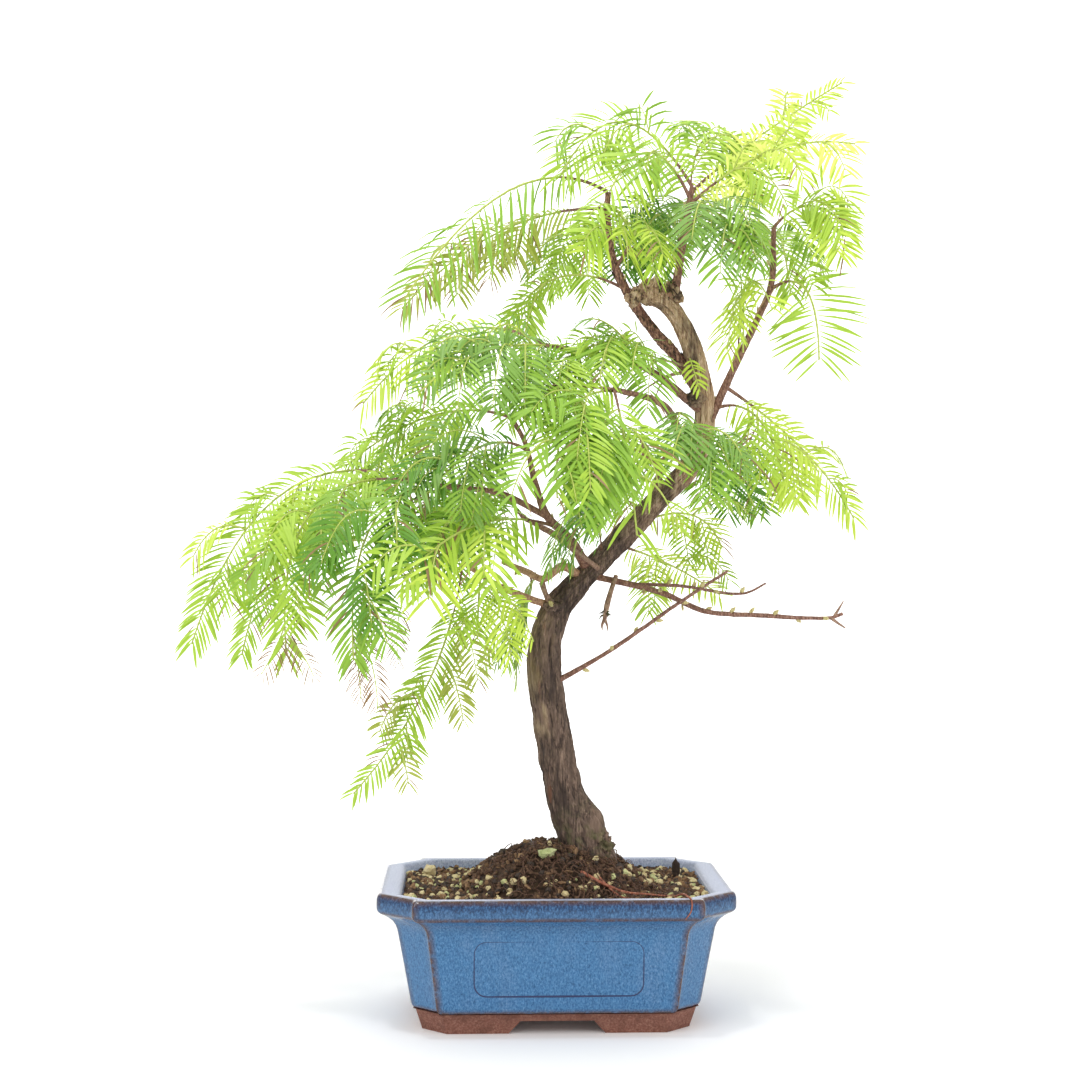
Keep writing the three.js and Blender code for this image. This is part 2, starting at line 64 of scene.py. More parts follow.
# Limb: its parent and where on it, the points it runs through, and its radii at even steps.
LIMBS = {
    "trunk": (None, [[17, 2, 80], [7, 0, 104], [1.6, -2, 130], [-5, -5, 178], [1, -2, 200], [24, 6, 225],
        [49, 8, 251], [70, 5, 274], [76, 2, 298], [70, -2, 327], [59, -5, 349], [42, -7, 360]],
        [10.5, 8.7, 8.4, 8.6, 7.8, 5.6, 5.6, 4.8, 5.2, 4.6, 4.4, 4]),
    "leader": (("trunk", 0.79), [[61, 0, 327], [53, 2, 336], [40, 4, 354], [30, 2, 374], [27, 0, 392],
        [27, -2, 408]], [3.2, 2.9, 2.4, 2, 1.5]),
    "shoot_mid": (("trunk", 0.94), [[62, -10, 372], [65, -12, 392], [68, -12, 409]], [2.8, 1.9, 1.6, 1.3]),
    "shoot_right": (("trunk", 0.71), [[84, -1, 308], [100, -9, 343], [107, -12, 361], [108, -14, 389]],
        [2.8, 2.3, 2.1, 1.9, 1.4]),
    "bough_front_left": (("trunk", 0.46), [[8, -10, 235], [-4, -18, 247], [-10, -20, 264], [-14, -18, 281],
        [-21, -14, 295]], [2.8, 2.3, 1.8, 1.4, 1.1]),
    "bough_long_left": (("bough_front_left", 0.44), [[-27, -16, 258], [-51, -8, 261], [-69, 0, 264]],
        [1.8, 1.5, 1.3, 1.1]),
    "bough_crooked": (("trunk", 0.445), [[4, -8, 222], [-5, -9, 216], [-13, -2, 219], [-25, 10, 224]],
        [2.5, 2.2, 1.8, 1.3]),
    "bough_low_left": (("trunk", 0.385), [[-17, -14, 208], [-28, -18, 213], [-45, -20, 224]],
        [2.2, 1.8, 1.5, 1.1]),
    "bough_mid_left": (("trunk", 0.77), [[42, -14, 321], [17, -24, 326], [-5, -30, 329]],
        [2.4, 1.9, 1.5, 1.1]),
    "bough_front": (("trunk", 0.68), [[53, -32, 299], [26, -58, 306]], [2.4, 1.8, 1.3]),
    "bough_back": (("trunk", 0.575), [[56, 34, 270], [50, 58, 280]], [2.4, 1.8, 1.3]),
    "bough_back_left": (("trunk", 0.47), [[6, 32, 235], [-14, 54, 247]], [2.4, 1.8, 1.3]),
    "twig_bare": (("trunk", 0.455), [[53, -6, 209], [74, -12, 200], [101, -16, 198], [135, -20, 197],
        [141, -21, 199]], [2.2, 1.7, 1.5, 1.3, 0.9]),
    "twig_bare_upper": (("twig_bare", 0.17), [[64, 4, 212], [96, 10, 208], [108, 12, 213]], [1.1, 0.9, 0.6]),
    "twig_bare_low": (("trunk", 0.26), [[27, -18, 181], [61, -24, 205], [84, -24, 220]],
        [1.9, 1.3, 1.1, 0.8]),
}

# Mass: its limb and where on it, the point its stem arches over, the stem's tip, the tints dealt to its
# sprays, and what differs from USUAL. needle is the length of its needles, width theirs, pitch their spacing
# on each side, hang how much they hang, fall how much more near the stem's foot, open how many degrees wider
# they stand, and dry the share of withered ones. face is the heading and tip of the mass's face, lean how far
# it turns over towards the stem's end. sides is the number of side shoots, long their length, bare the share
# of the stem before them, more the number of finer shoots, and leafy the share of the stem without needles.
USUAL = {
    "needle": 18, "width": 1.42, "pitch": 2.5, "hang": 0.3, "fall": 0, "open": 0, "dry": 0.02,
    "face": (270, 55), "lean": 0, "sides": 2, "long": 34, "bare": 0.25, "more": 4, "leafy": 0.13,
}
# Side shoots: the angle they leave at, their roll, their droop and lift, and their share without needles.
SIDE_ANGLE, SIDE_ROLL, SIDE_DROOP, SIDE_LIFT, SIDE_BARE = 50, 24, 0.42, 0.12, 0.18
STEM_RADII, SIDE_RADII, FINE_RADII = (1.1, 0.45), (0.6, 0.3), (0.42, 0.24)   # at the foot and the tip
MASSES = {}


def mass(name, limb, at, over, tip, tints, **own):
    given = {"owner": name, "limb": limb, "at": at, "over": over, "tip": tip, "tints": tints}
    MASSES[name] = {**USUAL, **given, **own}


mass("top_left_long", "leader", 1, (-22, -12, 407), (-74, -28, 350), "olive mid", needle=27, hang=0.35,
     fall=2.6, bare=0.14, sides=0, more=0, pitch=4.6, lean=62, face=(270, 15), dry=0.06, long=24)
mass("top_left_second", "leader", 0.93, (-26, 15, 391), (-76, 18, 352), "olive fresh", long=26, dry=0.14,
     hang=0.4, fall=0.6)
mass("top_left_low", "leader", 0.58, (2, 20, 368), (-24, 35, 343), "fresh mid", needle=15, sides=1, more=1)
mass("top_arch", "shoot_mid", 1, (34, -12, 441), (3, -24, 413), "fresh mid fresh", needle=25, hang=0.35,
     long=26, pitch=3.0, more=3, leafy=0.05, width=1.3, lean=30)
mass("top_arch_low", "shoot_mid", 0.9, (46, -28, 423), (25, -44, 401), "fresh mid", needle=25, sides=0,
     more=1, pitch=3.2, long=20, leafy=0.08)
mass("plume_high", "shoot_mid", 0.95, (101, 8, 436), (147, 14, 467), "yellow lime yellow", needle=14, long=30,
     more=5, leafy=0.04)
mass("plume_low", "shoot_mid", 0.84, (104, -24, 424), (144, -36, 426), "yellow lime fresh", needle=16, more=5,
     leafy=0.04)
mass("right_upper", "shoot_right", 1, (124, -18, 399), (139, -30, 389), "lime fresh", needle=19, sides=1,
     more=3)
mass("right_fan", "shoot_right", 0.74, (122, -26, 357), (127, -34, 322), "fresh", needle=29, bare=0.3,
     sides=0, more=0, width=1.4, hang=0.14, open=14)
mass("inner_right", "shoot_right", 0.42, (90, -34, 356), (88, -50, 324), "lime fresh", long=28,
     face=(225, 60), more=3, pitch=3.0)
mass("inner_front", "shoot_mid", 0.62, (76, -40, 392), (86, -66, 366), "bluish mid bluish", needle=20,
     long=30, face=(270, 20), more=6)
mass("inner_left", "leader", 0.68, (38, -30, 388), (12, -58, 370), "lime fresh", face=(330, 50), more=6,
     needle=20)
mass("inner_low", "shoot_mid", 0.5, (54, 14, 400), (42, 30, 376), "deep mid", face=(90, 35), sides=1)
mass("inner_back", "shoot_mid", 0.7, (68, 38, 408), (56, 80, 384), "mid fresh", face=(90, 25))
mass("leader_back", "leader", 0.75, (20, 42, 395), (0, 76, 368), "mid fresh", face=(90, 25))
mass("right_back", "shoot_right", 0.82, (118, 34, 394), (130, 70, 366), "fresh mid", face=(90, 15))
mass("mid_far_left", "bough_mid_left", 1, (-50, -22, 336), (-94, -10, 302), "fresh lime", long=26, hang=0.5,
     pitch=2.9)
mass("mid_left_near", "bough_mid_left", 0.85, (-32, -60, 324), (-64, -78, 303), "mid bluish fresh", more=6)
mass("mid_left_low", "bough_front_left", 1, (-61, 5, 297), (-104, 12, 272), "fresh mid", sides=3, needle=19,
     hang=0.5)
mass("mid_left_under", "bough_front_left", 0.8, (-36, -32, 280), (-62, -44, 256), "deep mid bluish", more=6)
mass("mid_upper", "bough_mid_left", 0.3, (36, -30, 330), (8, -40, 324), "mid bluish fresh", sides=3,
     face=(270, 40), more=6)
mass("mid_inner", "bough_mid_left", 0.62, (-1, -43, 318), (-9, -58, 286), "fresh mid", more=6)
mass("mid_front_droop", "bough_front", 1, (30, -78, 278), (35, -82, 237), "mid fresh mid", needle=24,
     pitch=2.9, more=7, width=1.6)
mass("mid_front_left", "bough_front", 0.85, (6, -70, 296), (-2, -90, 254), "mid fresh", needle=20, more=5,
     width=1.6)
mass("mid_front_right", "bough_front", 0.45, (63, -46, 292), (76, -62, 266), "bluish mid deep", long=28,
     more=5)
mass("mid_right", "shoot_right", 0.2, (100, -20, 294), (112, -28, 258), "fresh lime", long=30, more=2,
     pitch=3)
mass("mid_right_far", "shoot_right", 0.3, (127, 10, 280), (153, 14, 246), "lime fresh", needle=17, long=28,
     more=2, pitch=3)
mass("mid_back", "bough_back", 1, (44, 78, 289), (28, 94, 254), "mid fresh", face=(90, 45), sides=3)
mass("mid_back_right", "bough_back", 0.7, (84, 56, 285), (112, 74, 250), "mid deep", face=(90, 45))
mass("under_right", "trunk", 0.56, (71, 25, 248), (89, 38, 231), "lime fresh", face=(90, 50), needle=15,
     more=1, pitch=2.8)
mass("under_right_low", "trunk", 0.52, (62, 38, 222), (90, 55, 206), "lime fresh", face=(90, 50), needle=15,
     more=1, pitch=2.8)
mass("low_far_left", "bough_long_left", 1, (-135, 2, 258), (-178, -8, 184), "lime fresh", needle=20, long=30,
     more=3, hang=0.35)
mass("low_far_back", "bough_long_left", 0.7, (-122, 38, 250), (-160, 48, 175), "fresh lime mid", long=30,
     more=3)
mass("low_left_mid", "bough_long_left", 0.9, (-117, -28, 250), (-129, -36, 180), "fresh mid fresh", dry=0.05,
     more=3, needle=19, width=1.6)
mass("low_left_near", "bough_long_left", 0.54, (-85, -45, 247), (-96, -55, 179), "deep mid deep", sides=3,
     dry=0.04, more=3, needle=20, width=1.6)
mass("low_hanging", "bough_low_left", 1, (-62, -16, 165), (-98, -22, 112), "olive fresh", needle=14, sides=3,
     long=24, more=3)
mass("low_front", "bough_front_left", 0.36, (-39, -48, 242), (-74, -70, 214), "lime lime fresh", needle=22,
     bare=0.38, width=2.0, pitch=3.9, more=3)
mass("low_center", "trunk", 0.49, (16, -28, 250), (0, -46, 230), "deep mid", face=(200, 60), more=6)
mass("low_under", "bough_crooked", 0.7, (-12, 24, 204), (-28, 32, 172), "fresh mid", needle=14,
     face=(210, 60))
mass("low_small", "bough_low_left", 0.8, (-37, -38, 211), (-38, -50, 188), "fresh lime", needle=13, sides=1,
     more=2)
mass("low_back", "bough_back_left", 1, (-40, 76, 258), (-66, 90, 212), "mid fresh", face=(90, 45), sides=3,
     more=6)
mass("low_inner", "bough_crooked", 1, (-42, 30, 255), (-62, 48, 222), "deep mid", face=(90, 70), more=6)
mass("top_back", "shoot_mid", 0.88, (80, 20, 440), (106, 34, 416), "fresh mid lime", face=(270, 30), sides=3,
     more=5)


# ---- Materials

def linear(code):
    """An sRGB hex colour as linear RGBA."""
    parts = [int(code[i:i + 2], 16) / 255 for i in (1, 3, 5)]
    return (*[c / 12.92 if c <= 0.04045 else ((c + 0.055) / 1.055) ** 2.4 for c in parts], 1.0)


def node(tree, kind, inputs=None, stops=(), **settings):
    """Adds a node, its kind named without ShaderNode. settings are its own, stops a colour ramp's, and inputs
    gives each socket, by name or number, a value, a hex colour, a node or another node's socket."""
    made = tree.nodes.new("ShaderNode" + kind)
    for key, value in settings.items():
        setattr(made, key, value)
    for _ in stops[2:]:
        made.color_ramp.elements.new(0.5)
    for element, (spot, code) in zip(made.color_ramp.elements if stops else (), stops):
        element.position, element.color = spot, linear(code)
    sockets = [socket for socket in made.inputs if socket.enabled]
    for key, value in (inputs or {}).items():
        socket = sockets[key] if isinstance(key, int) else next(s for s in sockets if s.name == key)
        if isinstance(value, bpy.types.Node):
            value = next(out for out in value.outputs if out.enabled)
        if isinstance(value, bpy.types.NodeSocket):
            tree.links.new(value, socket)
        else:
            socket.default_value = linear(value) if isinstance(value, str) else value
    return made


def surface(name, **values):
    """A new material and what adds nodes to it, with values or hex colours on the shader's own sockets."""
    material = bpy.data.materials.new(name)
    material.use_nodes = True
    shader = material.node_tree.nodes["Principled BSDF"]
    for key, value in values.items():
        value = linear(value) if isinstance(value, str) else value
        shader.inputs[key.replace("_", " ")].default_value = value
    return material, partial(node, material.node_tree)


def finished(material, height, strength, depth, **links):
    """Links the named sockets of a material's shader, and a bump of depth mm. Gives the material."""
    tree = material.node_tree
    shader = tree.nodes["Principled BSDF"]
    links["Normal"] = node(tree, "Bump", {"Height": height, "Strength": strength, "Distance": depth * MM})
    for key, source in links.items():
        result = next(out for out in source.outputs if out.enabled)
        tree.links.new(result, shader.inputs[key.replace("_", " ")])
    return material


def in_mm(add, along_z=1.0):
    """A point's place on its object in millimetres. along_z below 1 draws a pattern out upwards."""
    place = add("TexCoord").outputs["Object"]
    return add("Mapping", {"Vector": place, "Scale": (1000, 1000, 1000 * along_z)})


def stained(add, color, *stains):
    """A colour with stains over it: for each what shows it, from and to which value, how much, its colour."""
    for value, low, high, most, stain in stains:
        share = add("MapRange", {"Value": value, "From Min": low, "From Max": high, "To Max": most})
        color = add("Mix", {"Factor": share, "A": color, "B": stain}, data_type="RGBA")
    return color


def tones(codes, low=0.3, top=0.72):
    """A colour ramp's dark, middle and light stop."""
    return list(zip((low, 0.5, top), codes.split()))


# Needles: soft leaves with a thin wax that gives them a gentle gloss. Each tint is a plain colour of its own;
# deep, a darker green dealt mostly to inner and under masses, is in part painted shade.
TINTS = {
    "yellow": "#e0ef70", "lime": "#c5df4e", "fresh": "#aacd42", "mid": "#8bb637", "deep": "#629629",
    "bluish": "#7fa947", "olive": "#a9b64a", "dry": "#94774f",
}


def old_bark():
    """Old redwood bark: fibres that run along the trunk, brown below and tanner above, darkened in the cracks
    by painted shade, smooth and tan where it has peeled, with a little moss at the foot. height is the
    relief, which the painted shade follows, share the place along the trunk."""
    material, add = surface("redwood_bark", Roughness=0.85)
    height, share, peeled = (add("Attribute", attribute_name=key).outputs["Fac"]
                             for key in ("height", "share", "peeled"))
    spot, broad, long = in_mm(add), in_mm(add, 0.4), in_mm(add, 0.09)
    fine, strip, rust, cloud, patch = (
        add("TexNoise", {"Vector": place, "Scale": 1 / size, "Detail": detail, "Roughness": roughness})
        for place, size, detail, roughness in ((long, 0.7, 5, 0.65), (long, 1.5, 3, 0.6), (long, 7, 2, 0.5),
                                               (broad, 11, 4, 0.5), (spot, 5, 4, 0.5)))
    fibre = add("Math", {0: add("Math", {0: fine, 1: strip}, operation="ADD"), 1: 0.5}, operation="MULTIPLY")
    low, high, smooth, tan = (add("ValToRGB", {0: fibre}, stops) for stops in (
        [(0.36, "#2e221d"), (0.46, "#524238"), (0.54, "#6f5b4e"), (0.65, "#9a8270")],
        [(0.36, "#6a4e3b"), (0.46, "#ae8d70"), (0.56, "#d3b696"), (0.68, "#f0dcc2")],
        tones("#4b3d2b #705d43 #957e5f", 0.35, 0.65), tones("#7a664b #ab9473 #cdb999", 0.35, 0.65)))
    bare = stained(add, smooth, (share, 0.29, 0.24, 1, tan))
    # Painted shade: the bark darkens where its relief is low, in the cracks and crevices.
    color = stained(add, low, (share, 0.52, 0.74, 1, high), (cloud, 0.54, 0.68, 0.5, "#917866"),
                    (cloud, 0.49, 0.37, 0.75, "#352923"), (rust, 0.62, 0.7, 0.45, "#8a5a42"),
                    (height, 0.45, 0.1, 0.75, "#2a1f19"), (peeled, 0, 1, 1, bare))
    foot = add("MapRange", {"Value": share, "From Min": 0.09, "From Max": 0.02})
    damp = add("MapRange", {"Value": patch, "From Min": 0.48, "From Max": 0.62, "To Max": 0.4})
    moss = add("Math", {0: foot, 1: damp}, operation="MULTIPLY")
    return finished(material, fibre, 0.9, 0.6, Base_Color=stained(add, color, (moss, 0, 1, 1, "#6a7040")))


def young_bark(name, codes, low=0.3, top=0.72):
    """Young bark: a thin skin with fine lengthwise flakes."""
    material, add = surface(name, Roughness=0.68)
    flake = add("TexNoise", {"Vector": in_mm(add, 0.45), "Scale": 1 / 0.9, "Detail": 4, "Roughness": 0.6})
    color = add("ValToRGB", {0: flake}, tones(codes, low, top))
    return finished(material, flake, 0.5, 0.25, Base_Color=color)


def blue_glaze():
    """Blue stoneware glaze, fired glossy: finely speckled, dark where it pools on the lip, with painted shade
    in the cove under the lip and a painted dark reflection on the lip's upper face, broken to brown clay on
    every sharp edge, and thin, milky and duller on top of the rim."""
    material, add = surface("blue_stoneware_glaze", Specular_IOR_Level=0.45)
    edge, rim, pool = (add("Attribute", attribute_name=key).outputs["Fac"] for key in ("edge", "rim", "pool"))
    spot, runs = in_mm(add), in_mm(add, 0.55)
    speck, cloud, wear, swell = (
        add("TexNoise", {"Vector": place, "Scale": 1 / size, "Detail": detail, "Roughness": roughness})
        for place, size, detail, roughness in ((runs, 0.75, 4, 0.7), (runs, 13, 4, 0.5), (spot, 3, 3, 0.5),
                                               (spot, 7, 2, 0.5)))
    blue, pale, dark, milk, clay = (add("ValToRGB", {0: speck}, stops) for stops in (
        [(0.28, "#1c456b"), (0.45, "#376a98"), (0.6, "#4b80ae"), (0.78, "#76a0c8")],
        tones("#2b5680 #4a77a2 #7a93b8", 0.28, 0.75), tones("#0b1a31 #1f4069 #41729f", 0.34, 0.66),
        tones("#74809e #a1a8c2 #cbd0df"), [(0.3, "#2d1b16"), (0.55, "#573a2f"), (0.8, "#80604f")]))
    patchy = add("MapRange", {"Value": wear, "From Min": 0.32, "From Max": 0.5, "To Min": 0.5})
    broken = add("Math", {0: edge, 1: patchy}, operation="MULTIPLY")
    # The dark bands at set heights of the lip are pooled glaze together with painted shade in the cove under
    # the lip and a painted dark reflection on its upper face.
    color = stained(add, blue, (cloud, 0.5, 0.68, 0.6, pale), (pool, 0, 1, 1, dark), (rim, 0, 1, 1, milk),
                    (broken, 0, 1, 1, clay))
    dull = add("MapRange", {"Value": rim, "From Min": 0.75, "To Min": 0.09, "To Max": 0.45})
    return finished(material, swell, 0.45, 0.5, Base_Color=color, Roughness=dull)


def loose(name, codes, size, cloud="#3a2a20", share=0.4, top=0.75):
    """Matt clay, soil or stone: specks of size mm, clouded with a darker colour."""
    material, add = surface(name, Roughness=0.92)
    spot = in_mm(add)
    speck = add("TexNoise", {"Vector": spot, "Scale": 1 / size, "Detail": 4, "Roughness": 0.7})
    drift = add("TexNoise", {"Vector": spot, "Scale": 1 / (6 * size), "Detail": 2})
    base = add("ValToRGB", {0: speck}, tones(codes, top=top))
    clouded = stained(add, base, (drift, 0.45, 0.68, share, cloud))
    return finished(material, speck, 0.5, 0.25, Base_Color=clouded)


# ---- Meshes

def placed(name, data):
    """A new object in the scene."""
    made = bpy.data.objects.new(name, data)
    bpy.context.scene.collection.objects.link(made)
    return made


def piece(name, mesh, material, nodes=(), smooth=True):
    """Puts a finished mesh into the scene as a piece of the part, in the place of the nodes it replaces."""
    mesh.name = name
    made = placed(name, mesh)
    mesh.materials.append(material)
    mesh.polygons.foreach_set("use_smooth", [smooth] * len(mesh.polygons))
    mesh.update()
    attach(made, "root")
    if nodes:
        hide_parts(*nodes)


def to_mesh(bm, outward=True):
    """Turns a bmesh into a mesh, with a solid's faces outward."""
    if outward:
        bmesh.ops.recalc_face_normals(bm, faces=bm.faces)
    mesh = bpy.data.meshes.new("built")
    bm.to_mesh(mesh)
    bm.free()
    return mesh


def arrays(bm):
    """Turns a bmesh into a vertex array and a list of faces, each a tuple of vertex numbers."""
    bm.verts.index_update()
    corners = np.array([v.co[:] for v in bm.verts])
    faces = [tuple(v.index for v in f.verts) for f in bm.faces]
    bm.free()
    return corners, faces


def skin(points, faces, **values):
    """A mesh over points in plant millimetres, with values at each of them for its material to read."""
    mesh = bpy.data.meshes.new("skin")
    mesh.from_pydata(put(points).tolist(), [], faces)
    for key, numbers in values.items():
        mesh.attributes.new(key, "FLOAT", "POINT").data.foreach_set("value", numbers.astype(np.float32))
    return mesh


def many(corners, faces):
    """One mesh of many copies: their vertices, copies x vertices x 3 in plant mm, and the faces of one."""
    copies, count = corners.shape[:2]
    loops = (np.concatenate(faces) + count * np.arange(copies)[:, None]).ravel()
    sizes = np.tile([len(f) for f in faces], copies)
    mesh = bpy.data.meshes.new("copies")
    mesh.vertices.add(copies * count)
    mesh.loops.add(len(loops))
    mesh.polygons.add(len(sizes))
    mesh.vertices.foreach_set("co", put(corners).astype(np.float32).ravel())
    mesh.loops.foreach_set("vertex_index", loops.astype(np.int32))
    mesh.polygons.foreach_set("loop_start", (np.cumsum(sizes) - sizes).astype(np.int32))
    mesh.update(calc_edges=True)
    mesh.validate()
    return mesh


@cache
def pipe(sides, steps):
    """A closed cylinder, which limbs, rods and pot walls start from: its columns, rings and faces."""
    bm = bmesh.new()
    bmesh.ops.create_cone(bm, cap_ends=True, segments=sides, radius1=1, radius2=1, depth=1)
    upright = [e for e in bm.edges if abs(e.verts[0].co.z - e.verts[1].co.z) > 0.5]
    bmesh.ops.subdivide_edges(bm, edges=upright, cuts=steps - 1)
    bmesh.ops.recalc_face_normals(bm, faces=bm.faces)
    corners, faces = arrays(bm)
    angle = np.arctan2(corners[:, 1], corners[:, 0]) % (2 * math.pi)
    column = np.round(angle / (2 * math.pi) * sides).astype(int) % sides
    return column, np.round((corners[:, 2] + 0.5) * steps).astype(int), faces


def unit(v):
    return v / np.maximum(np.linalg.norm(v, axis=-1, keepdims=True), 1e-12)


class Line:
    """A curve as many short chords: points and directions by share of its length."""

    def __init__(self, points):
        self.points = np.asarray(points, float)
        steps = np.linalg.norm(np.diff(self.points, axis=0), axis=1)
        self.far = np.concatenate([[0], np.cumsum(steps)])
        self.length = self.far[-1]
        self.tangents = unit(np.gradient(self.points, axis=0))

    def _at(self, values, share):
        along = np.clip(np.asarray(share, float), 0, 1) * self.length
        return np.stack([np.interp(along, self.far, column) for column in values.T], axis=-1)

    def at(self, share):
        return self._at(self.points, share)

    def ahead(self, share):
        return unit(self._at(self.tangents, share))


def through(points, per=24):
    """A centripetal Catmull-Rom line through points, as the source's limbs have."""
    p = np.asarray(points, float)
    p = np.vstack([2 * p[0] - p[1], p, 2 * p[-1] - p[-2]])
    out = []
    for i in range(1, len(p) - 2):
        gaps = [max(np.linalg.norm(p[i + j] - p[i + j - 1]) ** 0.5, 1e-4) for j in range(3)]
        slope = []
        for j in (0, 1):
            a, b, c = p[i + j - 1:i + j + 2]
            d0, d1 = gaps[j:j + 2]
            slope.append(((b - a) / d0 - (c - a) / (d0 + d1) + (c - b) / d1) * gaps[1])
        t = np.linspace(0, 1, per, endpoint=False)[:, None]
        out.append(p[i] + slope[0] * t + (3 * (p[i + 1] - p[i]) - 2 * slope[0] - slope[1]) * t ** 2
                   + (2 * (p[i] - p[i + 1]) + slope[0] + slope[1]) * t ** 3)
    return Line(np.vstack(out + [p[-2:-1]]))


def bend(start, over, end):
    """The line from start to end that passes over a third point half way."""
    start, over, end = (np.asarray(p, float) for p in (start, over, end))
    control = 2 * over - (start + end) / 2
    t = np.linspace(0, 1, 25)[:, None]
    return Line((1 - t) ** 2 * start + 2 * t * (1 - t) * control + t ** 2 * end)


def tube(line, sides, steps):
    """A pipe round a line, its rings carried along without twist: for each vertex the line's point beside it,
    its way out from there, its angle and its ring, and then the faces."""
    column, ring, faces = pipe(sides, steps)
    shares = np.linspace(0, 1, steps + 1)
    spots, ahead = line.at(shares), line.ahead(shares)
    side = np.cross(ahead[0], [0, 0, 1] if abs(ahead[0][2]) < 0.9 else [0, 1, 0])
    across = []
    for direction in ahead:
        side = unit(side - direction * side.dot(direction))
        across.append(side)
    across, angle = np.array(across), 2 * math.pi * column / sides
    up = np.cross(ahead, across)
    out = across[ring] * np.cos(angle)[:, None] + up[ring] * np.sin(angle)[:, None]
    return spots[ring], out, angle, ring, faces


def spread(values, share):
    """Values given at even steps from 0 to 1, at each share."""
    return np.interp(share, np.linspace(0, 1, len(values)), values)


def rods(name, courses, material, nodes=(), sides=6, steps=12):
    """Many thin tapering rods as one piece: for each the points it runs through, or a Line, and its radii."""
    bodies = []
    for course, radii in courses:
        line = course if isinstance(course, Line) else through(course, 8)
        spots, out, _, ring, faces = tube(line, sides, steps)
        bodies.append(spots + out * spread(radii, ring / steps)[:, None])
    piece(name, many(np.array(bodies), faces), material, nodes)


def rough(points, size, seed, octaves=3):
    """Smooth noise from -1 to 1 at each point; size is the feature size along X, Y and Z."""
    scaled = np.asarray(points) / np.asarray(size) + seed * 17.3
    return np.array([noise.fractal(Vector(p), 0.6, 2.0, octaves) for p in scaled])


# ---- Limbs

# Mound: its middle, and the height of the soil at three distances from there. The bed lies BED_DOWN lower,
# and grit covers it.
MOUND_X, MOUND_Y, MOUND_FAR, MOUND_HIGH, BED_DOWN = 1, 2, [16, 33, 49], [85, 77.1, 64.1], 1.8


def from_mound(x, y):
    return np.hypot(x - MOUND_X, y - MOUND_Y)


def ground(x, y):
    """Height of the soil: a bed that dips towards the rim, and the mound that the trunk stands on."""
    return np.interp(from_mound(x, y), MOUND_FAR, MOUND_HIGH) - BED_DOWN


lines = {}
for name, (parent, points, _) in LIMBS.items():
    root = [lines[parent[0]].at(parent[1])] if parent else []
    lines[name] = through([*root, *points])

# How much thinner than the source's the wood of some shoots is.
SLIM = {"shoot_right": 0.84, "twig_bare": 0.86, "twig_bare_low": 0.84, "twig_bare_upper": 0.9}
# Shares of the trunk: its burl, its sawn top, the peeled strip's start, bare length and end, and where the
# strip winds from the front to the left, with the X and Y it faces there.
BURL, SAWN = 0.05, 0.955
PEELED, BARE = [0.185, 0.225, 0.36, 0.42], [0, 1, 0.85, 0]
WINDS, STRIP_X, STRIP_Y = [0.15, 0.3], [-0.35, -0.97], [-0.93, -0.25]
EVEN = 0.7   # the height in the bark's relief, from 0 to 1, that lies at the limb's own radius
# Sizes in mm of the bark's features, twice across and once along, on a limb unrolled at a radius of ROUND.
LUMPS, FIBRES, BREAKS, CRACKS, ROUND = (11, 11, 24), (2.4, 2.4, 15), (7, 7, 26), (4.2, 4.2, 34), 9
# Shares of the radius that the lumps, the trunk's flare and the flare's lobes add.
LUMPY, FLARE, LOBED = 0.13, 0.42, 0.2
# How far the trunk's burl and sawn top stand out, how uneven the cut is, and how deep the foot is sunk.
BURL_OUT, TOP_OUT, UNEVEN, SUNK = 4.5, 3.2, 2.0, 1.5


def limb(name, material, sides, steps, relief):
    """A limb as a tube with its bark's ridges, lumps and cracks, relief mm deep. The trunk has its flare, its
    burl, its peeled strip and its sawn top as well, and its foot is sunk in the soil."""
    spots, out, angle, ring, faces = tube(lines[name], sides, steps)
    share = ring / steps
    radius = spread(LIMBS[name][2], share) * SLIM.get(name, 1)
    unrolled = np.stack([np.cos(angle) * ROUND, np.sin(angle) * ROUND, share * lines[name].length], axis=1)
    lumps = rough(unrolled, LUMPS, 1)
    fibres = 1 - np.abs(rough(unrolled, FIBRES, 2, 4)) * 2.4
    broken = np.clip(rough(unrolled, BREAKS, 9, 2) * 3 + 0.7, 0, 1)
    cracks = np.clip(1 - np.abs(rough(unrolled, CRACKS, 3)) * 9, 0, 1) * broken
    height = np.clip(0.62 + 0.36 * fibres - 0.55 * cracks, 0, 1)
    peeled, extra = np.zeros(len(share)), 0
    if name == "trunk":
        flare = np.exp(-share * 36) * (FLARE + LOBED * np.cos(4 * angle + 0.6))
        cut = np.clip((share - SAWN) / (1 - SAWN), 0, 1)
        radius = radius * (1 + flare) * (1 + 0.3 * np.sin(cut * math.pi) + 0.12 * cut)
        strip = np.array([np.interp(share, WINDS, STRIP_X), np.interp(share, WINDS, STRIP_Y)])
        faced = (out[:, :2] * strip.T).sum(axis=1)
        peeled = np.clip((faced - 0.68 + 0.3 * lumps) * 6, 0, 1) * np.interp(share, PEELED, BARE)
        height = height * (1 - 0.75 * peeled) + 0.75 * peeled * EVEN
        burl = np.exp(-((share - BURL) / 0.028) ** 2) * np.clip(out @ [0.9, -0.4, 0.1], 0, 1) ** 3
        extra = BURL_OUT * burl + TOP_OUT * cut * rough(spots + out * 4, (3, 3, 3), 6)
    corners = spots + out * (radius * (1 + LUMPY * lumps) + relief * (height - EVEN) + extra)[:, None]
    if name == "trunk":
        top = ring == steps
        corners[top] += rough(corners[top], (2.5, 2.5, 2.5), 4, 2)[:, None] * UNEVEN
        sunk = np.minimum(0, ground(corners[:, 0], corners[:, 1]) - SUNK - corners[:, 2])
        corners[:, 2] += np.exp(-ring / 7.0) * sunk
    # The material paints shade into the cracks where this height is low.
    mesh = skin(corners, faces, height=height, share=share, peeled=peeled)
    piece(name + "_bark", mesh, material, [name])


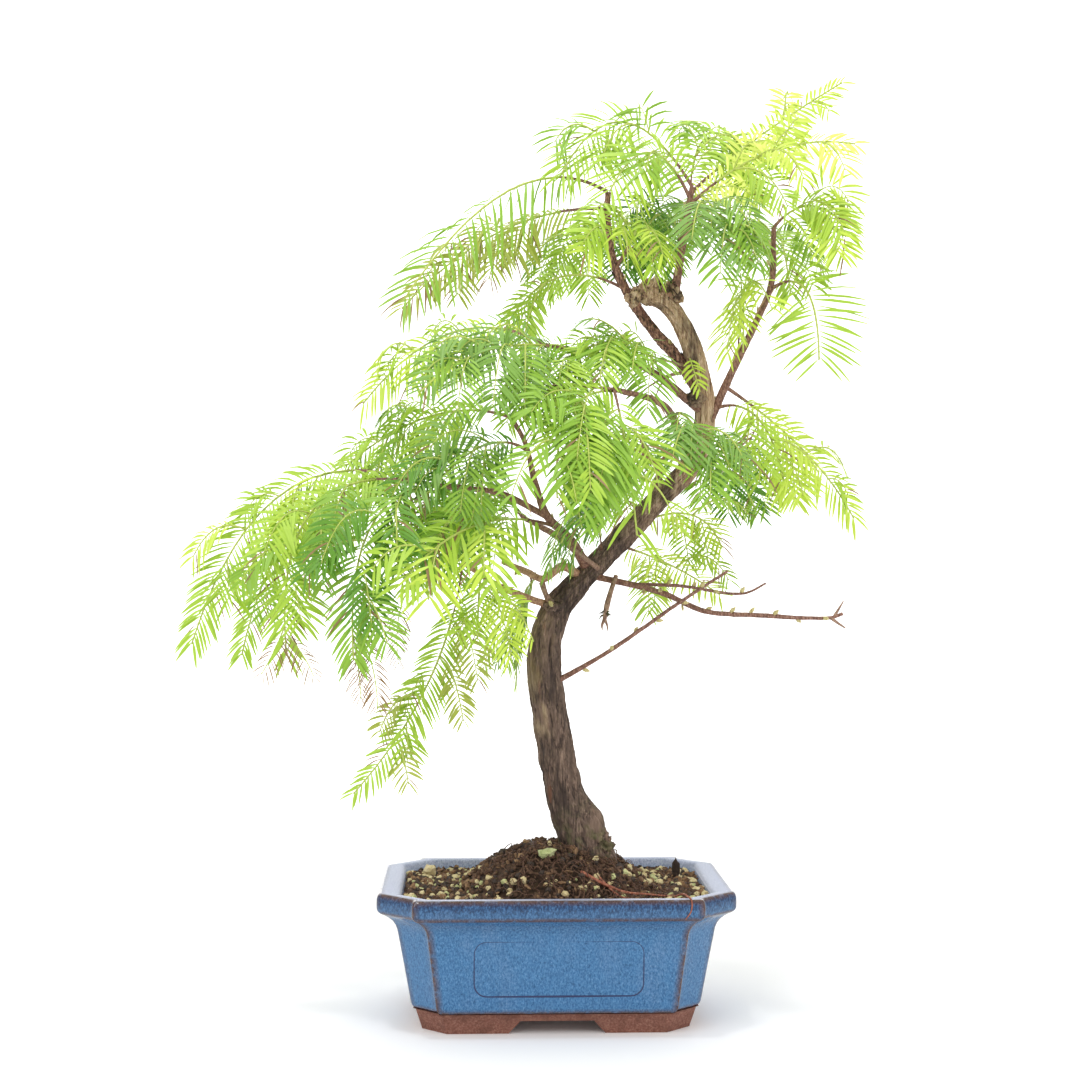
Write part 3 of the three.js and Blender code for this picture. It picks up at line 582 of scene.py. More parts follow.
bark = old_bark()
twig_bark = young_bark("young_redwood_bark", "#553a31 #86604f #b08a74")
tan_bark = young_bark("tan_twig_bark", "#75523f #a98164 #cfab8a")
flaking_bark = young_bark("flaking_leader_bark", "#38251e #7a5445 #b88d76", 0.34, 0.64)
shoot_bark = young_bark("red_brown_shoot_bark", "#4f352b #835c4c #b18b77")
limb("trunk", bark, 112, 420, 1.5)
limb("leader", flaking_bark, 28, 120, 1.1)
for name in list(LIMBS)[2:]:
    usual = shoot_bark if name.startswith(("shoot", "twig")) else twig_bark
    limb(name, tan_bark if name in ("bough_crooked", "bough_low_left") else usual, 16, 90, 0.4)

# Small dead wood: twiglets and stubs beside the trunk, and the knobs where older wood was cut away, each knob
# with its middle, its size and its shape.
DEAD = [
    ([(69, -3, 319), (56, -9, 316), (44, -14, 309)], [1.1, 0.8, 0.3]),
    ([(67, -4, 321), (54, -10, 324), (45, -15, 326)], [0.9, 0.6, 0.25]),
    ([(60, -8, 318), (52, -14, 311), (49, -16, 303)], [0.7, 0.5, 0.2]),
    ([(31, -2, 217), (28.5, -8, 211), (26, -11, 203), (24.4, -12, 194.5)], [1.2, 1.3, 1.6, 1.1]),
    ([(-6, -8, 214), (-4.5, -10, 209), (-1.5, -8, 203)], [1.6, 1.3, 1.9]),
    ([(2, -16, 236), (10, -14, 230), (22, -1.5, 221)], [0.6, 1.0, 1.4]),
    ([(26, -58, 306), (11, -56, 307), (-3, -54, 308)], [0.7, 0.5, 0.3]),
    ([(24.6, -12, 196), (23.4, -12.4, 193), (23.6, -12.2, 190.5)], [0.9, 0.7, 0.2]),
    ([(24.6, -12, 196.5), (26, -11.4, 193), (26.4, -11.8, 189.8)], [0.9, 0.6, 0.2]),
    ([(135, -20, 197), (139, -21, 194), (142, -22, 192)], [0.9, 0.7, 0.4]),
    ([(137, -20.5, 198), (140, -18, 202), (142, -17, 205)], [0.8, 0.6, 0.3]),
]
KNOBS = [
    ((0, -9, 202), 4.4, (1.1, 0.8, 0.8)), ((44, -8, 357), 5.0, (1.2, 0.9, 0.9)),
    ((39, -10, 354), 3.6, (1, 1, 1)), ((50, -8, 361), 3.8, (1, 0.8, 1)),
    ((56, -8, 358.5), 4.2, (1.1, 0.9, 0.9)), ((61, -8, 356), 3.2, (1, 1, 1)),
    ((21, -3, 87), 6.0, (1, 1, 1.1)), ((25, -4, 83), 4.6, (1, 1, 1)), ((70, -4, 306), 4.0, (1.1, 0.9, 1)),
]
bm = bmesh.new()
for middle, size, shape in KNOBS:
    spot = Matrix.Translation(Vector(middle)) @ Matrix.Diagonal((*shape, 1))
    bmesh.ops.create_icosphere(bm, subdivisions=4, radius=size, matrix=spot)
bm.normal_update()
normals = np.array([v.normal[:] for v in bm.verts])
points, knob_faces = arrays(bm)
where = put(points) / MM
burls, wrinkles = 1.9 * rough(where, (3.2, 3.2, 3.2), 7), rough(where, (1.1, 1.1, 1.8), 8)
push = burls + wrinkles
# Painted shade: the knobs' height is low in their crevices, and the bark darkens them there.
knobs = skin(points + normals * push[:, None], knob_faces, height=np.clip(0.42 + push * 0.5, 0, 1),
             share=np.interp(where[:, 2], [90, 350], [0, 0.72]))
piece("old_wood_knobs", knobs, bark, ["trunk"])
grey_twig = young_bark("weathered_dead_twig", "#5e463b #93745f #b99a84")
rods("dead_twiglets", DEAD, grey_twig, ["trunk"], 8, 24)

# Shags of loose bark round balls of old wood, each with its middle, size and number, and along the leader.
draw = np.random.default_rng(5)
shag = []
for middle, size, count in (((22, -3, 87), 6.0, 40), ((56, -9, 360), 4.4, 30), ((43, -7, 358), 4.4, 16),
                            ((25, -11.5, 199), 1.8, 14)):
    for way in unit(draw.normal(size=(count, 3)) + [0.2, -0.4, -0.1]):
        foot = middle + way * size * 0.8
        drop = np.array([0, 0, -draw.uniform(0.5, 2.5)])
        tip = foot + way * draw.uniform(1.4, 3) + drop
        shag.append(([foot, foot + way * 1.2 + drop * 0.3, tip], [0.5, 0.35, 0.1]))
for share in np.linspace(0.02, 0.7, 60):
    ahead = lines["leader"].ahead(share)
    way = unit(np.cross(ahead, draw.normal(size=3)))
    foot = lines["leader"].at(share) + way * spread(LIMBS["leader"][2], share) * 0.85
    slope = unit(ahead * draw.choice([-1, 1]) + way * draw.uniform(0.25, 0.6))
    shag.append(([foot, foot + slope * 1.2, foot + slope * draw.uniform(1.8, 4)], [0.55, 0.45, 0.1]))
rods("shaggy_bark", shag, bark, ["trunk"], 4, 4)

# Winter buds: how many each limb has, and one more on a stub in front of the trunk.
buds = []
for name, count in (("twig_bare", 9), ("twig_bare_low", 6), ("twig_bare_upper", 4), ("shoot_right", 9),
                    ("shoot_mid", 5), ("leader", 4), ("bough_crooked", 3), ("bough_front_left", 4)):
    for i in range(count):
        share = 0.2 + 0.78 * (i + 0.4 * draw.random()) / count
        ahead = lines[name].ahead(share)
        out = unit(np.cross(ahead, draw.normal(size=3)) + [0, -0.3, 0.5])
        foot = lines[name].at(share) + out * spread(LIMBS[name][2], share) * 0.8
        way = unit(out + ahead * 0.8)
        buds.append(([foot, foot + way * 1.5, foot + way * 3.6], [0.9, 1.15, 0.2]))
buds.append(([(-1, -13, 203), (-2, -15, 204), (-3, -17, 205)], [1.1, 1.2, 0.2]))
bud_skin = young_bark("pale_bud_scales", "#a08a52 #cdbf84 #e2dba8")
rods("winter_buds", buds, bud_skin, ["twig_bare"], 6, 4)

# ---- Foliage

# A shoot's number in its mass: STEM for the mass's own stem, and FINE for the first of its finer shoots.
STEM, FINE = 90, 10
sprays = []   # each is one shoot with its needles


def chance(mass, shoot, use):
    """The source's repeatable number from 0 to 1."""
    value = math.sin(mass * 12.9898 + shoot * 78.233 + use * 37.719) * 43758.5453
    return value - math.floor(value)


def facing(heading, tip):
    turn, lean = math.radians(heading), math.radians(tip)
    return np.array([math.sin(lean) * math.cos(turn), math.sin(lean) * math.sin(turn), math.cos(lean)])


def add_spray(line, mass, number, k, face, size, bare, gaps=1.0, over_wood=False):
    """Keeps a shoot of a mass. number and k are their numbers, size and gaps its needles' length and spacing
    as shares of the mass's, and over_wood lets them stand in front of the wood."""
    fine, tints = FINE <= k < STEM, mass["tints"].split()
    sprays.append({
        **mass, "line": line, "face": face, "bare": bare, "over_wood": over_wood, "stem": k == STEM,
        "needle": mass["needle"] * size, "pitch": mass["pitch"] * gaps,
        "tint": tints[int(chance(number, k, 9) * len(tints))],
        "lean": 0 if fine else mass["lean"], "fall": 0 if fine else mass["fall"],
        "radii": STEM_RADII if k == STEM else FINE_RADII if fine else SIDE_RADII,
    })


def side_line(stem, mass, number, k, s, length, roll_up=0.0):
    """A side shoot's course from the stem at share s. Finer shoots stand closer to it and droop more."""
    face = facing(*mass["face"])
    ahead = stem.ahead(s)
    across = unit(np.cross(face, ahead))
    if (across[2] > 0) != (k % 2 == 1):
        across = -across
    angle = math.radians(SIDE_ANGLE - 14 * (k >= FINE) + 14 * (chance(number, k, 2) - 0.5))
    heading = unit(ahead * math.cos(angle) + across * math.sin(angle) + face * roll_up)
    start, lift = stem.at(s), face * SIDE_LIFT * length
    over, end = start + heading * 0.52 * length + lift, start + heading * 0.94 * length + lift
    end[2] -= SIDE_DROOP * (1.35 if k >= FINE else 1) * length * (0.6 + 0.8 * chance(number, k, 4))
    return bend(start, over, end)


# Wood that the foliage leaves in sight: each limb, from which height to which.
SHOWN = (("trunk", 150, 266), ("trunk", 298, 372), ("shoot_mid", 360, 398), ("leader", 330, 384),
         ("shoot_right", 322, 374), ("bough_front_left", 222, 292), ("bough_long_left", 256, 263))
EYE, METRE = 236, 1000   # the height of the eye that sees them, and how far it is off


def from_front(points):
    """Where points stand on a plane through the trunk, as they are seen from a metre in front of it."""
    middle = np.array([0, EYE])
    return middle + (points[..., [0, 2]] - middle) * METRE / (METRE + points[..., 1:2])


radii_along = {name: spread(LIMBS[name][2], line.far / line.length) for name, line in lines.items()}
shown_wood, shown_radii = [], []
for name, low, high in SHOWN:
    shown = (lines[name].points[:, 2] > low) & (lines[name].points[:, 2] < high)
    shown_wood.append(from_front(lines[name].points[shown]))
    shown_radii.append(radii_along[name][shown])
shown_wood, shown_radii = np.concatenate(shown_wood), np.concatenate(shown_radii)


def hides_wood(points, margin):
    """Whether each point stands in front of the lengths of wood that the foliage leaves in sight."""
    gap = np.linalg.norm(from_front(points)[..., None, :] - shown_wood, axis=-1) - shown_radii
    return (gap.min(axis=-1) < margin) & (points[..., 1] < -3)


for number, mass in enumerate(MASSES.values()):
    leafy, sides, more, (heading, tip) = mass["leafy"], mass["sides"], mass["more"], mass["face"]
    stem = bend(lines[mass["limb"]].at(mass["at"]), mass["over"], mass["tip"])
    add_spray(stem, mass, number, STEM, facing(heading, tip), 1.06, leafy)
    for k in range(sides):
        s = mass["bare"] + 0.06 + 0.52 * (k + 0.5 * chance(number, k, 1)) / sides
        length = mass["long"] * (1.1 - 0.4 * s) * (0.9 + 0.25 * chance(number, k, 3))
        roll = SIDE_ROLL if k % 2 else -SIDE_ROLL
        shoot = side_line(stem, mass, number, k, s, length)
        add_spray(shoot, mass, number, k, facing(heading + roll, tip - roll), 0.85, SIDE_BARE, 0.92)
    for k in range(FINE, FINE + more):
        s = leafy + 0.04 + (0.8 - leafy) * (k - FINE + 0.8 * chance(number, k, 1)) / more
        length = mass["long"] * (1.15 - 0.75 * s) * (0.75 + 0.35 * chance(number, k, 3))
        roll = 26 * (chance(number, k, 5) - 0.5)
        shoot = side_line(stem, mass, number, k, s, length, 0.5 * (chance(number, k, 6) - 0.45))
        if not hides_wood(shoot.at(0.6), 1.0):
            add_spray(shoot, mass, number, k, facing(heading + roll, tip + roll * 0.7),
                      0.8 + 0.26 * chance(number, k, 7), 0.1, 0.95)

# Withered ends hang thin and brown below the low sprays, and one young shoot stands out from the upper
# trunk: its start, the point it arches over, its end, its needles' length, and how much of it has none.
WITHERED = [
    ([-129.9, -35.9, 194], [-135, -36, 182], [-141, -36, 171], 11, 0.1),
    ([-129.8, -35.9, 191.6], [-121, -38, 180], [-116, -38, 170], 10, 0.1),
    ([-96.6, -54.8, 196.9], [-88, -52, 178], [-85, -50, 155], 12, 0.1),
    ([-96.6, -54.9, 192.4], [-94, -50, 174], [-93, -48, 160], 10, 0.1),
    ([-62, 48, 222], [-77, 50, 202], [-79, 52, 170], 10, 0.4),
    ([-59.4, -42.9, 259.4], [-69, -46, 250], [-75, -46, 239], 9, 0.1),
]
withered = {**USUAL, "owner": "low_left_near", "needle": 1, "tints": "dry", "width": 0.75, "pitch": 2.1,
            "hang": 0.6}
young = {**USUAL, "owner": "mid_front_right", "needle": 1, "tints": "lime", "width": 2.0, "pitch": 2.6}
face = facing(270, 60)
for start, over, end, size, bare in WITHERED:
    add_spray(bend(start, over, end), withered, 0, FINE, face, size, bare)
shoot = bend([67.5, -4, 326], [69, -11, 318], [72, -12, 308])
add_spray(shoot, young, 0, FINE, face, 7.5, 0.1, over_wood=True)

# One needle, pointed at both ends: its points' places along it, across it and through it.
bm = bmesh.new()
bmesh.ops.create_uvsphere(bm, u_segments=4, v_segments=5, radius=1)
bmesh.ops.recalc_face_normals(bm, faces=bm.faces)
corners, needle_faces = arrays(bm)
along = (1 - corners[:, 2:]) / 2
wide = np.interp(along, [0, 0.1, 0.35, 0.66, 0.9, 1], [0, 0.5, 1, 0.92, 0.5, 0])
across, thick = (unit(corners[:, :2]) * wide).T[..., None]

# Needles: the degrees they stand off the shoot, and how much less at its end, how far they turn on
# themselves, and how near to the trunk's wood their tips come.
STAND, CLOSED, TWIST, CLEAR = 66, 34, 26, 0.8
WITHERED_PAST = 0.72   # the share of a shoot beyond which more needles are withered
needles = {tint: [] for tint in TINTS}
owners = {tint: set() for tint in TINTS}
rng = np.random.default_rng(11)
for spray in sprays:
    line, bare = spray["line"], spray["bare"]
    count = max(3, int(line.length * (1 - bare) / spray["pitch"]))
    vary = partial(rng.uniform, size=(2 * count, 1, 1))
    share = np.repeat((np.arange(count) + 0.5) / count, 2)[:, None, None]
    side = np.tile([1.0, -1.0], count)[:, None, None]
    s = bare + (1 - bare) * np.clip(share + vary(-0.25, 0.25) / count, 0, 1)
    foot, ahead = line.at(s[..., 0]), line.ahead(s[..., 0])
    face = unit(spray["face"] + [0, -math.tan(math.radians(spray["lean"])), 0] * s)
    side_way = unit(np.cross(face, ahead))
    up = np.cross(ahead, side_way)
    length = spray["needle"] * np.minimum(1, 0.5 + 2.5 * share) * (1 - 0.45 * share ** 3) * vary(0.86, 1.08)
    angle = np.radians(STAND + spray["open"] - CLOSED * share ** 4 + vary(-7, 7))
    twist = np.radians(vary(-TWIST, TWIST))
    course = unit(ahead * np.cos(angle) + side_way * side * np.sin(angle) + up * vary(-0.04, 0.14))
    flat = unit(np.cross(up, course))
    broad = unit(flat * np.cos(twist) + np.cross(course, flat) * np.sin(twist))
    dry = rng.random((2 * count, 1, 1)) < spray["dry"] * np.where(s > WITHERED_PAST, 2.6, 0.5)
    drop = (spray["hang"] * (1.3 - 0.6 * s) + spray["fall"] * (1 - s) ** 2) * vary(0.8, 1.3)
    drop = drop * np.where(dry, 1.6, 1)
    length = length / np.sqrt(1 + drop ** 2 * 0.8)
    curl = vary(-0.05, 0.09) * length
    half = spray["width"] * 0.5 * vary(0.8, 1.1) * np.clip(length / 9, 0.6, 1.1) * np.where(dry, 0.55, 1)
    tip = foot + course * length
    gap = np.linalg.norm(tip - lines["trunk"].points, axis=2) - radii_along["trunk"]
    clear = gap.min(axis=1) > CLEAR
    if not spray["over_wood"]:
        clear &= ~(hides_wood((foot + tip) / 2, 0.5) | hides_wood(tip, -0.5))[:, 0]
    body = (foot + course * length * along + (ahead * curl - [0, 0, 1] * drop * length) * along ** 2
            + broad * half * across
            + np.cross(course, broad) * half * (0.16 * thick + 0.12 * np.abs(across)) / 0.75)
    dry = dry[:, 0, 0]
    needles[spray["tint"]].append(body[clear & ~dry])
    needles["dry"].append(body[clear & dry])
    owners[spray["tint"]].add(spray["owner"])
for tint, groups in needles.items():
    wax, _ = surface("redwood_needle_" + tint, Base_Color=TINTS[tint], Roughness=0.4, Specular_IOR_Level=0.42)
    leaves = many(np.concatenate(groups), needle_faces)
    piece("needles_" + tint, leaves, wax, sorted(owners[tint]), False)

# Stems of the sprays: red-brown at the foot, green beyond it and on the side shoots.
BROWN = 0.2   # share of a mass's own stem
brown_rods, green_rods = [], []
for spray in sprays:
    foot, tip = spray["radii"]
    if spray["stem"]:   # the brown runs a little way into the green
        start = Line(spray["line"].at(np.linspace(0, BROWN + 0.02, 9)))
        brown_rods.append((start, [foot, foot + (tip - foot) * 0.75]))
        foot += (tip - foot) * 0.7
    rest = Line(spray["line"].at(np.linspace(BROWN * spray["stem"], 1, 17)))
    green_rods.append((rest, [foot, tip]))
rods("spray_stems", brown_rods, twig_bark, list(MASSES), 6, 8)
green_stem = young_bark("green_shoot_skin", "#a3b650 #b9c95f #ccd07a")
rods("green_shoots", green_rods, green_stem, (), 5, 12)

# ---- Pot

# Level: height, half width, half depth, corner cut, how far the long panels stand proud, and how much the
# glaze breaks to clay there.
WALL = [
    (10.2, 66.5, 46.5, 12.5, 1.6, 0.7), (10.9, 68.6, 48.7, 12.5, 3.0, 1.0),
    (12.2, 69.5, 49.7, 12.5, 3.2, 0.35), (13.4, 69.9, 50.1, 12.5, 3.2, 0),
    (30, 72.8, 53, 13.5, 3.4, 0), (46, 75.7, 56, 14.5, 3.6, 0),
    (49, 76.3, 56.6, 14.8, 3.7, 0), (51.5, 77.2, 57.5, 15, 3.8, 0), (53.5, 78.6, 58.9, 15.4, 4.0, 0),
    (55.3, 80.6, 60.8, 16, 4.2, 0), (56.5, 82.6, 62.3, 16.6, 4.4, 0.1), (57.3, 84.2, 63.6, 17, 4.6, 0.9),
    (58.2, 85.3, 64.5, 17.3, 4.7, 0.75), (59.4, 85.9, 65, 17.5, 4.8, 0.1), (62, 86, 65, 17.5, 4.8, 0),
    (64.5, 85.9, 64.9, 17.5, 4.8, 0.1), (66, 85.4, 64.4, 17.3, 4.7, 0.8), (66.8, 84.6, 63.7, 17.1, 4.6, 1.0),
    (67, 83.4, 62.7, 16.8, 4.3, 0.3),
]
RIM = [
    (67, 81.5, 61.4, 16.3, 3.4, 0), (67, 78, 59, 15.5, 0.9, 0), (66.7, 76.2, 57.9, 15.2, 0.3, 0),
    (65.6, 75, 57.2, 15, 0.0, 0.1), (62, 73.6, 55.6, 14.6, 0, 0), (56, 71.8, 53.6, 14, 0, 0),
]
LEVELS = WALL + RIM
ROUNDING, FADE = 1.6, 2.4   # of a corner in the plan, and of the wear beside it
SHARP = [0.55, 0.12, 1.0, 1.0, 0.12, 0.55] * 2   # how much each corner of the plan wears
# How dark the glaze is at some heights of the wall: pooled glaze, with painted shade in the cove under the
# lip and a painted dark reflection on the lip's upper face.
POOL_AND_SHADE_HIGH, POOL_AND_SHADE = [49, 54, 58, 60.5, 63, 66.6], [0, 0.35, 0.25, 0.3, 1, 0.95]


def outline(width, depth, corner, proud):
    """The pot's plan at one level, with rounded corners, and how worn the edge is at each of its points."""
    quarter = [(width, depth - proud - corner), (width - corner, depth - proud), (width - corner, depth)]
    back = quarter[::-1]
    plan = np.array([*quarter, *[(-x, y) for x, y in back], *[(-x, -y) for x, y in quarter],
                     *[(x, -y) for x, y in back]], float)
    spots, wear = [], []
    arc = (0.0, 0.25, 0.5, 0.75, 1.0)
    for i, (p, worn) in enumerate(zip(plan, SHARP)):
        before, after = plan[i - 1] - p, plan[(i + 1) % len(plan)] - p
        near = [min(ROUNDING, 0.42 * np.linalg.norm(v)) for v in (before, after)]
        fade = [min(FADE + ROUNDING, 0.5 * np.linalg.norm(v)) for v in (before, after)]
        a, b = unit(before), unit(after)
        spots += [p + a * fade[0], *[(1 - t) ** 2 * (p + a * near[0]) + 2 * t * (1 - t) * p
                                     + t ** 2 * (p + b * near[1]) for t in arc], p + b * fade[1]]
        wear += [0.0, *[worn * (1 - abs(2 * t - 1) * 0.35) for t in arc], 0.0]
    return np.array(spots), np.array(wear)


rings = [outline(*level[1:5]) for level in LEVELS]
column, ring, pot_faces = pipe(len(rings[0][0]), len(LEVELS) - 1)
flat, worn = (np.array([level[i] for level in rings])[ring, column] for i in (0, 1))
high, broken = (np.array([level[i] for level in LEVELS])[ring] for i in (0, 5))
outside = ring < len(WALL)
milky_from, milky_to = len(WALL) - 3, len(LEVELS) - 2   # rings between which the rim's top is milky
# The wall carries edge wear, the milky rim, and dark bands that are pooled glaze with painted shade under the
# lip and a painted dark reflection on its face.
pot_mesh = skin(
    np.column_stack([flat, high]), pot_faces, edge=np.maximum(np.where(outside, worn, 0), broken),
    rim=np.interp(ring, [milky_from, milky_from + 2, milky_to - 1, milky_to], [0, 1, 1, 0.6]),
    pool=np.where(outside, np.interp(high, POOL_AND_SHADE_HIGH, POOL_AND_SHADE), 0))
piece("pot_body", pot_mesh, blue_glaze(), ["pot"])

# The line round each long panel where the glaze gathered dark: a rounded frame, fainter at the top.
LINE_X, LINE_Z, LINE_HALF_X, LINE_HALF_Z, LINE_ROUND, LINE_SUNK = 0.5, 33.0, 40, 13.4, 6.0, 0.12


def scored_course(front):
    """The scored line's course on the front (-1) or back (1) panel, from its top middle all the way round."""
    flat = [(0, LINE_HALF_Z)]
    for right, up, start in ((1, 1, 90), (1, -1, 0), (-1, -1, -90), (-1, 1, -180)):
        for turn in np.radians(start - np.linspace(0, 90, 7)):
            flat.append((right * (LINE_HALF_X - LINE_ROUND) + LINE_ROUND * math.cos(turn),
                         up * (LINE_HALF_Z - LINE_ROUND) + LINE_ROUND * math.sin(turn)))
    x, z = np.array(flat + flat[:1]).T + [[LINE_X], [LINE_Z]]
    deep = np.interp(z, [level[0] for level in WALL], [level[2] for level in WALL])
    return Line(np.column_stack([x, front * (deep - LINE_SUNK), z]))


gathered, _ = surface("gathered_dark_glaze", Roughness=0.12, Base_Color="#29335a")
scored = [(scored_course(front), [0.18, 0.3, 0.55, 0.3, 0.18]) for front in (-1, 1)]
rods("scored_frame", scored, gathered, ["pot"], 6, 240)

# The bare foot: the source's pot cut off under the glaze, its edges softened below a height.
CUT, SOFT_BELOW, SOFT = 10.4 * MM, 10.2 * MM, 0.7 * MM
bm = bmesh.new()
bm.from_mesh(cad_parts["pot"].data)
bmesh.ops.remove_doubles(bm, verts=bm.verts, dist=1e-6)
bmesh.ops.bisect_plane(bm, geom=bm.verts[:] + bm.edges[:] + bm.faces[:], dist=1e-6, plane_co=(0, 0, CUT),
                       plane_no=(0, 0, 1), clear_outer=True)
bmesh.ops.holes_fill(bm, edges=[e for e in bm.edges if e.is_boundary], sides=0)
bmesh.ops.dissolve_limit(bm, angle_limit=math.radians(2), verts=bm.verts, edges=bm.edges)
sharp = [e for e in bm.edges if e.is_manifold and e.calc_face_angle(0) > math.radians(25)
         and max(v.co.z for v in e.verts) < SOFT_BELOW]
bmesh.ops.bevel(bm, geom=sharp, offset=SOFT, offset_type="OFFSET", segments=2, profile=0.5, material=-1,
                affect="EDGES", clamp_overlap=True)
bmesh.ops.triangulate(bm, faces=bm.faces)
foot_clay = loose("terracotta_foot", "#6b4235 #85584a #a97c69", 1.0, "#5a382c", top=0.72)
piece("pot_foot", to_mesh(bm), foot_clay, ["pot"], False)

# ---- Soil

# The bed: its edge runs straight down to BED_BOTTOM, and rings run from there to its middle, with crumbs.
BED_BOTTOM, BED_RINGS, CRUMB_HIGH = 57, 70, 1.5
bed, _ = outline(74.2, 55.8, 14.6, 0.0)
soil_scales = np.array([1.0, *np.linspace(1.0, 0.012, BED_RINGS)])
column, ring, soil_faces = pipe(len(bed), len(soil_scales) - 1)
flat = bed[column] * soil_scales[ring][:, None]
high = ground(*flat.T)
crumbs = rough(np.column_stack([flat, high]), (3.5, 3.5, 3.5), 5, 4)
high = np.where(ring == 0, BED_BOTTOM, high + np.where(ring > 1, CRUMB_HIGH * crumbs, 0))
piece("soil_bed", skin(np.column_stack([flat, high]), soil_faces),
      loose("damp_bark_humus", "#241812 #453123 #6b4f3b", 1.6), ["soil"])


# Half the width and depth that grains lie on, how far the cut corners reach, the mound's radius, and the
# trunk's foot with the radius round it that stays clear.
BED_X, BED_Y, CORNERS, ON_MOUND, TRUNK_FOOT, TRUNK_CLEAR = 74, 55, 1.78, 36, (17, 2), 15
# How a grain's measures and dents vary, and its middle's height above the soil by its size.
GRAIN_SHAPE, GRAIN_DENTS, GRAIN_UP = (0.7, 1.25), 0.22, 0.35


def grains(name, count, sizes, material, seed, mound=1.0, squash=0.75):
    """Loose grains on the soil, each a lump of 20 faces with its own size, shape and turn. mound is the share
    of those dealt to the mound that stay there, and squash the height of a grain by its width."""
    draw = np.random.default_rng(seed)
    bm = bmesh.new()
    bmesh.ops.create_icosphere(bm, subdivisions=1, radius=1)
    form, faces = arrays(bm)
    x, y = draw.uniform(-BED_X, BED_X, 6 * count), draw.uniform(-BED_Y, BED_Y, 6 * count)
    kept = np.abs(x) / (BED_X + 0.5) + np.abs(y) / (BED_Y + 0.5) < CORNERS
    kept &= (np.abs(x) < BED_X - 0.5) & (np.abs(y) < BED_Y - 0.5)
    kept &= (from_mound(x, y) > ON_MOUND) | (draw.random(6 * count) < mound)
    kept &= np.hypot(x - TRUNK_FOOT[0], y - TRUNK_FOOT[1]) > TRUNK_CLEAR
    x, y = x[kept][:count], y[kept][:count]
    size = draw.uniform(*sizes, len(x)) / 2
    shape = draw.uniform(*GRAIN_SHAPE, (len(x), 1, 3)) * np.array([1, 1, squash])
    dents = 1 + draw.uniform(-GRAIN_DENTS, GRAIN_DENTS, (len(x), len(form), 1))
    angles = draw.uniform(0, 6.3, len(x))
    axes = unit(draw.normal(size=(len(x), 3)))
    turns = np.array([Matrix.Rotation(angle, 3, Vector(axis)) for angle, axis in zip(angles, axes)])
    local = np.einsum("nij,nkj->nki", turns, form[None] * shape * dents) * size[:, None, None]
    middle = np.column_stack([x, y, ground(x, y) + size * GRAIN_UP])
    piece(name, many(local + middle[:, None, :], faces), material, smooth=False)


grains("humus_crumbs", 3000, (0.9, 3.0), loose("composted_bark_crumb", "#37261b #5c4433 #8a6a51", 2.5), 21)
grains("lava_grit", 600, (1.4, 3.8), loose("dark_lava_grit", "#241d19 #40352e #60534a", 2.0), 22, 0.6)
grains("bark_flakes", 420, (1.8, 5.0),
       loose("brown_bark_flake", "#5a3f2e #8a6a4c #b1936c", 2.0), 25, 0.5, 0.4)
grains("pumice_grit", 300, (1.4, 4.6),
       loose("cream_pumice", "#b8a26c #ddcd9c #efe5c2", 1.2, "#a3895a", 0.5, 0.72), 23, 0.06)
grains("green_grit", 60, (1.8, 4.6),
       loose("weathered_green_pumice", "#a3a86c #c9ca90 #e0dcae", 1.2, "#7f8a58", 0.5), 24, 0.1)


def course_on_soil(spots, lift):
    """Points on the soil's surface, each raised by its own lift."""
    return [(x, y, float(ground(x, y)) + up) for (x, y), up in zip(spots, lift)]


# Fine dead roots curl over the front of the mound; a thicker red one crosses it and one hangs over the rim.
ROOTS, ROOT_POINTS, ROOT_STEP, ROOT_THIN = 170, 7, 2.6, (0.14, 0.34)
draw = np.random.default_rng(31)
roots = []
for _ in range(ROOTS):
    x, y = draw.uniform(-22, 52), draw.uniform(-44, -14)
    if draw.random() < 0.25:
        x, y = draw.uniform(-34, 40), draw.uniform(-20, 44)
    turn, spots = draw.uniform(0, 6.3), []
    for _ in range(ROOT_POINTS):
        spots.append((x, y))
        turn += draw.normal() * 0.8
        x, y = x + math.cos(turn) * ROOT_STEP, y + math.sin(turn) * ROOT_STEP
    thin = draw.uniform(*ROOT_THIN)
    course = course_on_soil(spots, draw.uniform(-0.4, 3.2, ROOT_POINTS))
    roots.append((course, [thin, thin * 0.9, thin * 0.5]))
rods("surface_roots", roots, young_bark("dry_root_hair", "#3b2920 #624534 #8b6850"), ["soil"], 5, 18)
red_roots = [
    (course_on_soil([(12, -31), (22, -35), (33, -33), (44, -38), (58, -34)], [1.2, 2.6, 1.8, 2.8, 0.8]),
     [0.9, 0.7, 0.35]),
    (course_on_soil([(20, -30), (30, -38), (37, -41)], [1.0, 2.2, 1.0]), [0.6, 0.5, 0.3]),
    ([(56, -46, 65.5), (59, -54, 68), (60.5, -61, 68.1), (62, -64.5, 66.8), (61.6, -65.3, 62),
      (59, -65.4, 58.2)], [0.55, 0.45, 0.4, 0.25]),
]
rods("red_roots", red_roots, young_bark("red_root_skin", "#6a3527 #a05c45 #c38a70"), ["soil"], 7, 40)


def lone(name, spot, size, material, seed):
    """One larger stone or chip on the soil: a ball broken into uneven flats."""
    bm = bmesh.new()
    bmesh.ops.create_icosphere(bm, subdivisions=2, radius=0.55)
    for vert, push in zip(bm.verts, rough([v.co[:] for v in bm.verts], (0.5, 0.5, 0.5), seed, 2)):
        vert.co *= 1 + 0.55 * float(push)
        vert.co = Vector([c * s * MM for c, s in zip(vert.co, size)])
    bmesh.ops.rotate(bm, verts=bm.verts, matrix=Matrix.Rotation(seed, 3, "Z"))
    bmesh.ops.translate(bm, verts=bm.verts, vec=Vector(put(spot)))
    piece(name, to_mesh(bm), material, ["soil"], False)


